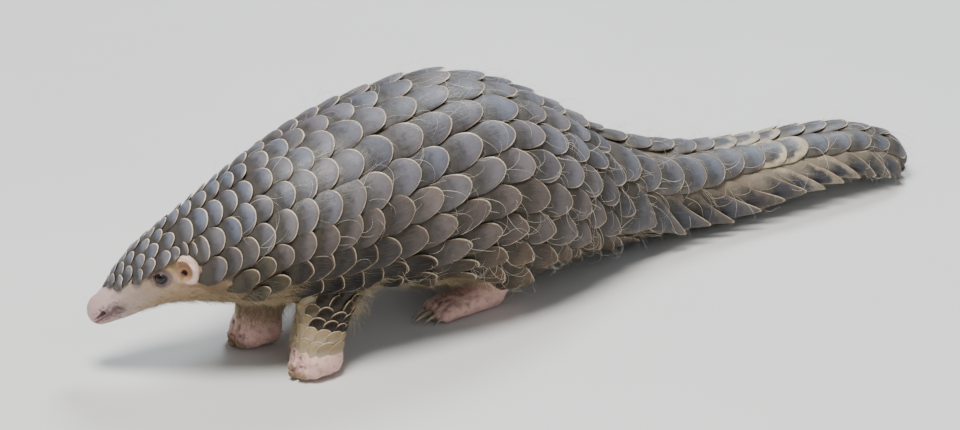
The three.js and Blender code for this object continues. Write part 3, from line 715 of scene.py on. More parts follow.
# rows of shields: millimetres round the body from the middle of the back to each row, along the body
GAP_HEAD = [(30, 7.2), (45, 8.0), (60, 8.7), (72, 9.1), (80, 9.8), (92, 10.4)]
GAP_NECK = [(86, 19.4), (110, 20.4), (155, 20.7), (165, 21.0)]
GAP_TRUNK = [(148, 20.6), (180, 23.5), (200, 26.0), (235, 27.0), (250, 26.6), (300, 25.0), (345, 24.2), (365, 23.8), (400, 22.6), (440, 21.5), (490, 20.6)]
TAIL_ROWS = {0: [(440, 0), (780, 0)],
             1: [(470, 41), (500, 43), (530, 37), (550, 33.5), (575, 30), (600, 28), (640, 25.5), (670, 24), (700, 22.5), (740, 20), (780, 16.5)],
             2: [(470, 88), (500, 88), (516, 88), (545, 80), (566, 76), (590, 70), (610, 64), (632, 59.5), (656, 56), (678, 53), (698, 49.5), (726, 45), (750, 39), (780, 32)],
             3: [(470, 128), (500, 124), (550, 105), (600, 92), (660, 77), (720, 63), (780, 48)], 4: [(470, 160), (480, 165), (500, 151.6), (550, 129.6), (600, 115.7), (660, 97.1), (720, 80.2), (780, 60)]}
TAIL_TIPS = {1: [480, 504, 529, 552, 575.5, 599, 622.5, 645, 665, 684, 703, 721, 739, 757, 772], 0: [492, 517, 541, 564, 587.5, 611, 634, 655, 675, 694, 712, 730, 748, 765, 777]}
TAIL_WIDE = {0: [(480, 34), (500, 33), (550, 29.5), (600, 27), (660, 24), (720, 19.5), (770, 15)], 1: [(480, 39), (500, 41), (550, 38), (600, 34), (660, 29), (720, 24.5), (770, 19)],
             2: [(480, 46), (500, 52), (550, 53), (600, 50), (660, 44), (720, 36), (770, 26)], 3: [(480, 36), (550, 36), (600, 33), (660, 28), (720, 23), (770, 18)], 4: [(480, 34), (550, 33), (600, 30), (660, 25), (720, 20), (770, 16)]}
ROLL = [(0, 0), (150, 0), (225, -6), (300, -4), (430, -3), (500, 3), (540, 0), (565, -3), (600, -6), (650, -6), (700, -3), (740, 0), (780, 0)]
SCALES = []          # one row of numbers for each scale


def table(rows, q):
    return float(np.interp(q * 1000, *np.array(rows, float).T))


# deep: strength of the painted shade darkening the part of a scale just beyond the edge of the one over it; where it is
# weak the root is cream instead
def add_scale(lf, q, ang, beta, W, L, H, keel=0.0, point=0.0, dome=0.0, row=0, tint=(0.12, 0.11, 0.1), rim=1.0, lift=0.0, cream=0.0, cap=0.60, slope=1.10, s0=0.0, ring=0.0, deep=0.88):
    SCALES.append(dict(lf=lf, q=q, ang=ang, beta=beta, W=W, L=L, H=H, keel=keel, point=point, dome=dome, row=row, tint=tint, rim=rim, lift=lift,
                       cream=cream, rnd=float(rng.random()), cap=cap, slope=slope, s0=s0, ring=ring, deep=deep))


def leg_inside(P, names=None):
    """depth of a point inside any leg"""
    best = np.full(len(P), 1.0)
    for n, lf in legs.items():
        f = loft_field(lf, P, 0.01)[0]
        best = np.minimum(best, f)
    return best


def lerp(a, b, t):
    return tuple(x + (y - x) * float(t) for x, y in zip(a, b))


def tips(lo, hi, k, phase=0.0):
    """places along the body, one for each shield of a row, every other row set off by half a step"""
    ua, ub = np.interp(lo / 1000, QQ, UU), np.interp(hi / 1000, QQ, UU)
    return [float(np.interp(n + 0.5 * (k % 2) + phase, UU, QQ)) for n in range(int(ua) - 2, int(ub) + 3) if ua <= n + 0.5 * (k % 2) + phase <= ub]


# scale colours: TOP_WITH_PAINTED_SHEEN is grey horn with a painted blue sky sheen, SIDE the brown horn of the flanks,
# LOW_PAINTED_SHADE near black, painted shade low on the front flank; the tail's top has the painted sheen and its side
# is darker
TOP_WITH_PAINTED_SHEEN, SIDE, LOW_PAINTED_SHADE = (0.142, 0.140, 0.166), (0.150, 0.122, 0.112), (0.006, 0.0045, 0.0035)
TAIL_TOP_WITH_PAINTED_SHEEN, TAIL_SIDE = (0.120, 0.126, 0.152), (0.072, 0.072, 0.084)
PHASE = float(np.interp(0.304, QQ, UU)) % 1.0
PLAN = []            # stretch, row, place along, millimetres round, width
for k in range(4):
    PLAN += [(0, k, q, k * table(GAP_HEAD, q), table(GAP_HEAD, q)) for q in tips(32, 88, k, 0.59)]
for k in range(6):
    PLAN += [(1, k, q, k * table(GAP_NECK, q), table(GAP_NECK, q)) for q in tips(88, 152, k, 0.4223)]
for k in range(9):
    last = 452 if k == 1 else 478 if k % 2 else 442 if k == 2 else 468
    PLAN += [(2, k, q, k * table(GAP_TRUNK, q), table(GAP_TRUNK, q)) for q in tips(153, last, k, PHASE)]
for k in range(5):
    PLAN += [(3, k, q / 1000, table(TAIL_ROWS[k], q / 1000), table(TAIL_WIDE[k], q / 1000)) for q in TAIL_TIPS[k % 2]]
for si, k, q_tip, round_mm, gap in PLAN:
    for side in (1, -1):
        if side < 0 and (k == 0 or (si == 3 and k == 4)):
            continue
        P0 = pitch(q_tip)
        q = q_tip + rng.normal() * 0.030 * P0
        row_at = lambda v: (k * table({0: GAP_HEAD, 1: GAP_NECK, 2: GAP_TRUNK}[si], v) if si < 3 else table(TAIL_ROWS[k], v)) * side + (table(ROLL, v) if not (si == 3 and k > 1) else 0.0)
        s0 = (row_at(q) + rng.normal() * 0.030 * gap) / 1000
        a = float(angle_of(q, s0))
        if float(bare_at(np.array(q - 0.40 * P0), np.array(a))) > 2.0 or abs(math.degrees(a)) > bare_edge(q) + 4:
            continue
        beta = math.atan2((row_at(q) - row_at(q - 0.012)) / 1000, 0.012) + rng.normal() * 0.03
        dd = abs(math.degrees(a))
        H = float(coat_depth(np.array(q), np.array(a))) - 0.0003
        W, L = gap / 1000 * (1.30, 1.04, 1.12, 1.0)[si], P0 * (1.80, 1.95, 1.90, 1.9)[si]
        # deep 0.88: strong painted shade near the covered root
        keel, point, lift, cream, cap, ring, deep, slope = 0.0, 0.0, 0.0, 0.0, 0.60, 0.0, 0.88, 1.10
        dome = 0.050 * W
        t = float(smooth(38, 92, dd))
        # the tops of head and neck are paler and bluer, painted sheen; low on the flank the colour runs into painted
        # shade near the shoulder and into dark brown further back
        front_top = lerp(lerp((0.185, 0.195, 0.235), (0.146, 0.156, 0.194), smooth(0.06, 0.13, q)), TOP_WITH_PAINTED_SHEEN, smooth(0.12, 0.22, q))
        tint = lerp(lerp(front_top, SIDE, t), lerp(LOW_PAINTED_SHADE, (0.098, 0.068, 0.042), smooth(0.24, 0.31, q)), smooth(88, 104, dd) if q < 0.24 else smooth(94, 110, dd))
        if si == 0:
            cap, dome, ring = 0.52, 0.0007, 1.0
        if si == 1:
            cap = 0.56
            if dd > 88:
                tint = lerp(tint, (0.105, 0.092, 0.055), 0.75)
                W *= 0.90
        if si == 2:
            keel, point = 0.0013 * float(smooth(72, 100, dd)) + 0.0003, 0.12 * float(smooth(75, 110, dd))
            tint = lerp(tint, lerp(TAIL_TOP_WITH_PAINTED_SHEEN, TAIL_SIDE, t), smooth(0.40, 0.47, q) * (1 - float(smooth(95, 110, dd))))
            dome *= 1 - 0.4 * float(smooth(95, 115, dd))
            if dd > 110 and q < 0.26:
                W *= 0.92
        if si == 3:
            tint = lerp(TAIL_TOP_WITH_PAINTED_SHEEN, TAIL_SIDE, t)
            near_tip = (0.608, 0.632, 0.640, 0.640, 0.640)[k], (0.668, 0.678, 0.705, 0.700, 0.700)[k]
            cream = float(smooth(near_tip[0] - 0.010, near_tip[0] + 0.004, q) * smooth(near_tip[1] + 0.004, near_tip[1] - 0.010, q)) * (0.62, 0.88, 0.5, 0.3, 0.3)[k]
            # deep: the painted shade near the root, weaker on the lower rows of the tail and on the margin plates
            cap, dome, deep = 0.52, (0.0012, 0.0020, 0.0, 0.0010, 0.0008)[k], 0.85 if k < 2 else 0.70
            if k == 2:
                L, keel, point, lift, cap, deep = 2.05 * P0, 0.0028, 1.15, 0.0030, 0.42, 0.84 - 0.42 * float(smooth(0.575, 0.64, q))
                beta += side * 0.13
                if q < 0.50:
                    point, keel, lift, cap, deep = 0.5, 0.0016, 0.0, 0.5, 0.85
            cream = max(cream, 0.12 if k == 2 else 0.05)
        shade = 1 + float(np.clip(rng.normal(), -1.8, 1.8)) * 0.16
        warm = rng.normal() * 0.05
        tint = (tint[0] * shade * (1 + warm), tint[1] * shade, tint[2] * shade * (1 - warm))
        L0, W0 = L, W
        while float(bare_at(np.array(q - 0.90 * L), np.array(a))) > 0 and L > 0.62 * L0 and q < 0.3:
            L *= 0.95
        rate = float(arc_of(q, abs(a) + 0.2) - arc_of(q, abs(a) - 0.2)) / 0.4
        while float(np.max(bare_at(np.array([q - 0.5 * L, q - 0.5 * L]), np.array([a - 0.42 * W / rate, a + 0.42 * W / rate])))) > 3.0 and W > 0.0085 and 0.060 < q < 0.13:
            W *= 0.95
        if W < 0.68 * W0 or L < 0.0075:
            continue
        add_scale(body, q, a, beta, W * (1 + rng.normal() * 0.04), L * (1 + rng.normal() * 0.03), H, keel, point, dome, (si, side * k), tint,
                  lift=lift + (0.0004, 0.0008, 0.0013, 0.0006)[si] + abs(rng.normal()) * 0.0004, cream=cream, cap=cap, s0=s0, ring=ring, deep=deep, slope=slope)

# a shield of the head or neck with none in front of it is a round plate lying on the skin
for c in SCALES:
    if c["q"] < 0.150:
        ahead = [o for o in SCALES if o is not c and -0.95 * c["L"] < o["q"] - c["q"] < -0.22 * c["L"] and abs(o["s0"] - c["s0"]) < 0.32 * c["W"]]
        if not ahead:
            c["ring"], c["slope"] = 1.0, 0.92
            if c["q"] < 0.085 and abs(c["ang"]) > 25 * RAD:
                c["W"] = max(c["W"], 0.0098)
                c["lift"] += 0.0003
            c["L"] = float(np.clip(c["L"], c["W"] * 1.05, c["W"] * 1.30))
# two small plates fill the corner over the ear, and none reaches into the ear
for side in (1, -1):
    for q_, d_, w_ in ((0.0850, 53.0, 0.0112), (0.0900, 54.0, 0.0125), (0.0950, 58.0, 0.0130)):
        if not any(abs(o["q"] - q_) < 0.0030 and abs(o["s0"] - float(arc_of(q_, side * d_ * RAD))) < 0.0042 for o in SCALES):
            a_ = side * d_ * RAD
            add_scale(body, q_, a_, 0.05, w_, w_ * 1.2, float(coat_depth(np.array(q_), np.array(a_))) - 0.0003, 0, 0, 0.0007, (0, side * 9), lerp(TOP_WITH_PAINTED_SHEEN, SIDE, 0.25),
                      lift=0.0002, cap=0.52, s0=float(arc_of(q_, a_)), ring=1.0, slope=0.92)
for c in SCALES:
    if 0.070 < c["q"] < 0.125 and 45 < abs(math.degrees(c["ang"])) < 110:
        side = 1 if c["ang"] > 0 else -1
        mid_ear = abs(float(arc_of(0.0837, 76.6 * RAD)))
        for _ in range(14):
            hit = 0
            for yy in (0.0, 0.25, 0.5, 0.75, 1.0):
                for xx in (-0.9, -0.45, 0.0, 0.45, 0.9):
                    w_ = c["W"] / 2 * xx * (math.sqrt(max(0.0, 1 - (max(0.0, yy - 0.55) / 0.45) ** 2)))
                    al_ = (yy - 1) * c["L"]
                    ex = (c["q"] + al_ * math.cos(c["beta"]) - w_ * math.sin(c["beta"]) - 0.0837) * 1000
                    ey = -(side * (c["s0"] + al_ * math.sin(c["beta"]) + w_ * math.cos(c["beta"])) - mid_ear) * 1000
                    if math.hypot((ex + 2.3) / 6.9, (ey + 1.0) / 8.1) < 1.10:
                        hit = 1 if yy < 0.6 else 2
            if not hit:
                break
            if hit == 1 and c["L"] > 0.0075:
                c["L"] *= 0.93
            else:
                c["W"] *= 0.95
                c["s0"] -= side * 0.0004
                c["ang"] = float(angle_of(c["q"], c["s0"]))

# the legs: smaller shields whose free edges point up and back
for name, lf in legs.items():
    fore = name.startswith("fore")
    side = 1 if name.endswith("left") else -1
    step = 0.0070 if fore else 0.0085
    z_low = 0.0240 if fore else 0.033
    n_rows = 12
    for i in range(-2, int(lf.L / step) + 2):
        for j in range(n_rows):
            ang = (-178 + 356 * (j + 0.5 * (i % 2)) / n_rows) * RAD
            q = (i + 0.5) * step
            if not (0.002 < q < lf.L - 0.002):
                continue
            z = lf.look(np.array(q))[2]
            if z < z_low or z > 0.112:
                continue
            s_out = -math.sin(ang) * side           # +1 on the outer side of the leg
            front = math.cos(ang)
            if s_out < (-0.30 if side > 0 else 0.05):
                continue
            if not fore and (s_out < 0.0):
                continue
            p = lf.surf(np.array([q]), np.array([ang]))
            if float(loft_field(body, p, 0.05)[0][0]) < -0.0080:
                continue
            lowest = z < z_low + step * 1.02
            q += rng.normal() * 0.0004
            ang += rng.normal() * 0.03
            turn = 0.62 if z > 0.045 else 0.28
            beta = math.pi - (turn if math.sin(ang) < 0 else -turn)
            # leg scales: near black above, dark horn with painted shade in it; pale on the lowest rows and at the front
            dark_horn_and_shade, pale = (0.0085, 0.0065, 0.005), (0.40, 0.30, 0.165)
            if fore:
                t = float(max(smooth(0.0372, 0.0338, z), smooth(0.80, 0.97, front) * smooth(0.082, 0.066, z) * 0.8))
                t = max(t, 0.35 * float(smooth(-0.80, -0.95, front)) * float(smooth(0.06, 0.045, z)))
            else:
                t = 0.10
            base = lerp(dark_horn_and_shade, pale, t)
            shade = 1 + rng.normal() * 0.14
            grow_up = 1 + 5.0 * max(0, z - 0.06)
            # deep: painted shade near the root, weaker on the pale leg scales, whose roots are cream instead
            add_scale(lf, q - 0.004, ang, beta, (0.0150 if z > 0.045 else 0.0168) * (1 + rng.normal() * 0.06) * grow_up, 0.0140 * grow_up, 0.0026, 0.0001, 0.0, 0.0005, (9, name), tuple(c * shade for c in base), rim=0.7,
                      lift=abs(rng.normal()) * 0.0002, cap=0.50, slope=1.9 if lowest else 1.12, deep=0.88 - 0.75 * t)


def scale_arrays(items):
    """points of the upper and lower faces of many scales of one loft, and what the material needs to know of each"""
    n = len(items)
    g = lambda k: np.array([s[k] for s in items], float)[:, None, None]
    u, v = np.meshgrid(UN, VN)
    vr = np.clip((v - 0.42) / 0.58, 0, 1)[None]
    u, v = u[None] * np.ones((n, 1, 1)), v[None] * np.ones((n, 1, 1))
    cap = g("cap")
    x = u * np.where(v < 0.42, 0.90 + 0.10 * smooth(0, 0.42, v), np.sqrt(1 - vr**2 / 2))
    y = np.where(v < 0.42, v / 0.42 * cap, cap + (1 - cap) * vr * np.sqrt(1 - u**2 / 2))
    x = np.where(g("ring") > 0, x * np.where(v < 0.42, 0.12 + 0.88 * np.sqrt(np.clip(1 - ((0.42 - v) / 0.42) ** 2, 0, 1)), 1.0), x)
    rad = np.where(v < 0.42, np.abs(u), np.hypot(x, (y - cap) / (1 - cap)))
    W, L, H = g("W"), g("L"), g("H")
    yr = np.clip((y - cap) / (1 - cap), 0, 1)
    point = g("point")
    x = x * (1 - np.minimum(point, 1.3) * 0.55 * yr**1.3)
    y = y + point * 0.30 * np.clip(1 - np.abs(x) / 0.6, 0, 1) * yr**2
    wave = 0.035 * np.sin(3 * np.arctan2(x, yr + 1e-3) + 6.28 * g("rnd")) * rad**3
    edge = (1 - rad) * np.minimum(W / 2, L * (1 - cap))
    beta = g("beta")
    al, ac = (y - 1) * L, x * W / 2 * (1 + wave)
    dq = al * np.cos(beta) - ac * np.sin(beta)
    ds = al * np.sin(beta) + ac * np.cos(beta)
    lf = items[0]["lf"]
    q0, a0 = g("q"), g("ang")
    q = np.clip(q0 + dq, 0.0005, lf.L - 0.0005)
    if lf is body:
        over = np.clip(q0 + dq - (lf.L - 0.002), 0, None)
        q = np.minimum(q, lf.L - 0.002 - over * 0.05)
        ang = angle_of(q, g("s0") + ds)
    else:
        rate = np.linalg.norm(lf.surf(np.clip(q0 - L * 0.4, 0, lf.L), a0 + 0.01) - lf.surf(np.clip(q0 - L * 0.4, 0, lf.L), a0 - 0.01), axis=-1) / 0.02
        ang = a0 + ds / rate
    up = H * (1 - (1 - np.clip(y, 0, 1)) * g("slope")) + g("lift") * y**2
    up = up + g("dome") * (1 - rad**2) * smooth(0.0, 0.4, y) + g("keel") * np.exp(-(x / 0.20) ** 2) * (0.35 + 0.65 * yr) - g("keel") * 0.45
    up = up + 0.0006 * g("ring") - 0.00042 * (1 - smooth(0, 0.0013, edge))
    up = up + 0.00012 * (edge < 0.0026) * (edge > 0.0012)
    thick = np.minimum(0.0010, 0.16 * H) * (0.35 + 0.65 * smooth(0, 0.003, edge))
    return lf, q, ang, up, thick, edge, x, y, W, L


def seat(lf, q, ang, height):
    """puts points at a height over the skin"""
    shp = q.shape
    P = lf.surf(q, ang).reshape(-1, 3)
    N = lf.normal(q, ang).reshape(-1, 3)
    h = height.reshape(-1)
    for _ in range(2):
        f, g = field(P, fine=False)
        P = P - g * np.clip(f - np.maximum(h, -0.002), -0.006, 0.012)[:, None]
    return P.reshape(*shp, 3)


def scale_faces(nv, nu, n):
    i, j = np.meshgrid(np.arange(nv - 1), np.arange(nu - 1), indexing="ij")
    a = (i * nu + j).ravel()
    top = np.stack([a, a + 1, a + nu + 1, a + nu], 1)
    m = nv * nu
    bot = np.stack([a + m, a + nu + m, a + nu + 1 + m, a + 1 + m], 1)
    ring = list(range(0, nu)) + [r * nu + nu - 1 for r in range(1, nv)] + [(nv - 1) * nu + c for c in range(nu - 2, -1, -1)] + [r * nu for r in range(nv - 2, 0, -1)]
    ring = np.array(ring)
    nx = np.roll(ring, -1)
    side = np.stack([ring, ring + m, nx + m, nx], 1)
    F = np.vstack([top, bot, side])
    kind = np.concatenate([np.zeros(len(top)), np.ones(len(bot)), np.full(len(side), 2)])
    F = (F[None] + (np.arange(n) * 2 * m)[:, None, None]).reshape(-1, 4)
    return F, np.tile(kind, n)


def attribute(me, name, kind, data):
    a = me.attributes.new(name, kind, "POINT")
    field_name = {"FLOAT": "value", "FLOAT_VECTOR": "vector", "FLOAT_COLOR": "color"}[kind]
    a.data.foreach_set(field_name, np.asarray(data, np.float32).ravel())


def scale_piece(name, items):
    parts = {}
    for s in items:
        parts.setdefault(id(s["lf"]), []).append(s)
    VV, AT, CO, CELL, n = [], [], [], [], 0
    for group in parts.values():
        lf, q, ang, up, thick, edge, x, y, W, L = scale_arrays(group)
        top = seat(lf, q, ang, up)
        low = seat(lf, q, ang, up - thick)
        k = len(group)
        P = np.stack([top, low], 1).reshape(k, -1, 3)
        VV.append(P.reshape(-1, 3))
        rim = np.interp(W, [0.009, 0.020, 0.036], [0.42, 0.62, 0.74]) * np.ones_like(edge)
        a = np.stack([edge * 100 / rim, y, x], -1)
        AT.append(np.stack([a, a], 1).reshape(-1, 3))
        # the alpha of the horn colour carries deep, the strength of the painted shade near the root
        rgb = np.array([[*s["tint"], s["deep"]] for s in group])[:, None] * np.ones((1, 2 * len(UN) * len(VN), 1))
        CO.append(rgb.reshape(-1, 4))
        ex = np.stack([np.array([s["rnd"] for s in group])[:, None, None] * np.ones_like(x), (W / 2 * x) * 100 + 0 * x, np.array([s["cream"] for s in group])[:, None, None] * np.ones_like(x)], -1)
        CELL.append(np.stack([ex, ex], 1).reshape(-1, 3))
        n += k
    F, kind = scale_faces(len(VN), len(UN), n)
    V = np.vstack(VV)
    V[:, 2] = np.maximum(V[:, 2], 0.0004)
    ob = new_mesh(name, V, F)
    me = ob.data
    attribute(me, "shield", "FLOAT_VECTOR", np.vstack(AT))
    attribute(me, "horn", "FLOAT_COLOR", np.vstack(CO))
    attribute(me, "extra", "FLOAT_VECTOR", np.vstack(CELL))
    # the UV map OFBake: each scale has a cell of its own, at the place of its root on the animal unrolled
    cols = int(math.ceil(math.sqrt(n * 1.0)))
    rowsn = int(math.ceil(n / cols))
    order = sorted(range(n), key=lambda i: (items_sorted_key(parts, i)))
    rank = np.empty(n, int)
    col_of, row_of = np.empty(n), np.empty(n)
    qa = np.array([items_sorted_key(parts, i)[0] for i in range(n)])
    an = np.array([items_sorted_key(parts, i)[1] for i in range(n)])
    by_q = np.argsort(qa, kind="stable")
    for c in range(cols):
        block = by_q[c * rowsn:(c + 1) * rowsn]
        block = block[np.argsort(an[block], kind="stable")]
        for r, i in enumerate(block):
            col_of[i], row_of[i] = c, r
    m = len(VN) * len(UN)
    gu, gv = np.meshgrid(UN, VN)
    uv_top = np.stack([(gv * 0.78 + 0.02) , (gu * 0.5 + 0.5) * 0.94 + 0.03], -1).reshape(-1, 2)
    uv_low = np.stack([(gv * 0.13 + 0.83), (gu * 0.5 + 0.5) * 0.94 + 0.03], -1).reshape(-1, 2)
    uv = np.stack([np.tile(np.vstack([uv_top, uv_low])[None], (n, 1, 1))], 0)[0]
    uv[:, :, 0] = (uv[:, :, 0] + col_of[:, None]) / cols
    uv[:, :, 1] = (uv[:, :, 1] + row_of[:, None]) / rowsn
    uv = uv.reshape(-1, 2)
    loops = uv[F.ravel()].reshape(-1, 4, 2)
    # the edge faces are given a sliver of their own beside the lower face
    sel = kind == 2
    top_c = loops[sel]
    k2 = np.tile(np.arange(sel.sum() // n), n)
    nside = sel.sum() // n
    cx = (0.965 + np.zeros_like(k2) + col_of.repeat(nside)) / cols
    y0 = (k2 / nside * 0.94 + 0.03 + row_of.repeat(nside)) / rowsn
    y1 = ((k2 + 0.9) / nside * 0.94 + 0.03 + row_of.repeat(nside)) / rowsn
    w = 0.02 / cols
    loops[sel] = np.stack([np.stack([cx, y0], -1), np.stack([cx + w, y0], -1), np.stack([cx + w, y1], -1), np.stack([cx, y1], -1)], 1)
    lay = me.uv_layers.new(name="OFBake")
    lay.data.foreach_set("uv", loops.astype(np.float32).ravel())
    return ob


def items_sorted_key(parts, i):
    k = 0
    for group in parts.values():
        if i < k + len(group):
            s = group[i - k]
            return (s["q"] + (0 if s["lf"] is body else 1.0 + (hash_of(s["lf"]))), s["ang"])
        k += len(group)


def hash_of(lf):
    return [id(l) for l in legs.values()].index(id(lf)) * 0.3


def inside_leg(s):
    P = s["lf"].surf(np.array([s["q"] - 0.35 * s["L"] * math.cos(s["beta"])]), np.array([s["ang"]]))
    return float(leg_inside(P)[0])


kept = []
for s in SCALES:
    if s["lf"] is body and abs(s["ang"]) > 60 * RAD and 0.09 < s["q"] < 0.48 and inside_leg(s) < -0.0060:
        continue
    kept.append(s)
print("scales", len(SCALES), len(kept))
SCALES = kept
STRIPS = {}
for s in SCALES:
    if s["lf"] is body:
        d = math.degrees(s["ang"])
        key = ("top" if abs(d) < 30 else ("left" if d > 0 else "right") + ("_upper" if abs(d) < 75 else "_lower"))
    else:
        key = "legs_left" if s["row"][1].endswith("left") else "legs_right"
    STRIPS.setdefault(key, []).append(s)
SCALE_OBS = [scale_piece("scales_" + k, v) for k, v in STRIPS.items()]


# =====================================================================================
# Materials
# =====================================================================================
class Nodes:
    """a small helper for writing node trees"""

    def __init__(s, name):
        s.mat = bpy.data.materials.new(name)
        s.mat.use_nodes = True
        s.t = s.mat.node_tree
        s.t.nodes.clear()
        s.out = s.t.nodes.new("ShaderNodeOutputMaterial")
        s.bsdf = s.t.nodes.new("ShaderNodeBsdfPrincipled")
        s.link(s.bsdf.outputs[0], s.out.inputs[0])
        s.place = s.node("ShaderNodeTexCoord").outputs["Object"]

    def node(s, kind, **kw):
        n = s.t.nodes.new(kind)
        for k, v in kw.items():
            setattr(n, k, v)
        return n

    def link(s, a, b):
        s.t.links.new(a, b)

    def put(s, sock, val):
        if hasattr(val, "is_output"):
            s.link(val, sock)
        elif isinstance(val, (tuple, list)) and len(val) == 3 and sock.type == "RGBA":
            sock.default_value = (*val, 1.0)
        else:
            sock.default_value = val

    def math(s, op, a, b=0.0, c=0.0, clamp=False):
        n = s.node("ShaderNodeMath", operation=op, use_clamp=clamp)
        for i, v in enumerate((a, b, c)[:len(n.inputs)]):
            s.put(n.inputs[i], v)
        return n.outputs[0]

    def ramp(s, x, a, b, lo=0.0, hi=1.0):
        n = s.node("ShaderNodeMapRange", interpolation_type="SMOOTHSTEP")
        for i, v in enumerate((x, a, b, lo, hi)):
            s.put(n.inputs[i], v)
        return n.outputs[0]

    def mix(s, f, a, b, mode="MIX"):
        n = s.node("ShaderNodeMix", data_type="RGBA", blend_type=mode)
        s.put(n.inputs["Factor"], f)
        s.put(n.inputs["A"], a) if False else None
        ins = [i for i in n.inputs if i.type == "RGBA"]
        s.put(ins[0], a)
        s.put(ins[1], b)
        return [o for o in n.outputs if o.type == "RGBA"][0]

    def noise(s, scale, detail=3.0, rough=0.55, where=None, stretch=None):
        w = where or s.place
        if stretch:
            m = s.node("ShaderNodeMapping")
            s.link(w, m.inputs[0])
            m.inputs["Scale"].default_value = stretch
            w = m.outputs[0]
        n = s.node("ShaderNodeTexNoise")
        s.link(w, n.inputs["Vector"])
        n.inputs["Scale"].default_value, n.inputs["Detail"].default_value, n.inputs["Roughness"].default_value = scale, detail, rough
        return n.outputs[0]

    def attr(s, name):
        n = s.node("ShaderNodeAttribute", attribute_name=name)
        return n

    def parts(s, vec):
        n = s.node("ShaderNodeSeparateXYZ")
        s.link(vec, n.inputs[0])
        return n.outputs

    def bump(s, height, strength, distance, under=None):
        n = s.node("ShaderNodeBump")
        s.link(height, n.inputs["Height"])
        n.inputs["Strength"].default_value, n.inputs["Distance"].default_value = strength, distance
        if under is not None:
            s.link(under, n.inputs["Normal"])
        return n.outputs[0]

    def finish(s, color, rough, normal=None, spec=0.5, **kw):
        s.put(s.bsdf.inputs["Base Color"], color)
        s.put(s.bsdf.inputs["Roughness"], rough)
        s.bsdf.inputs["Specular IOR Level"].default_value = spec
        for k, v in kw.items():
            s.bsdf.inputs[k.replace("_", " ")].default_value = v
        if normal is not None:
            s.link(normal, s.bsdf.inputs["Normal"])
        return s.mat


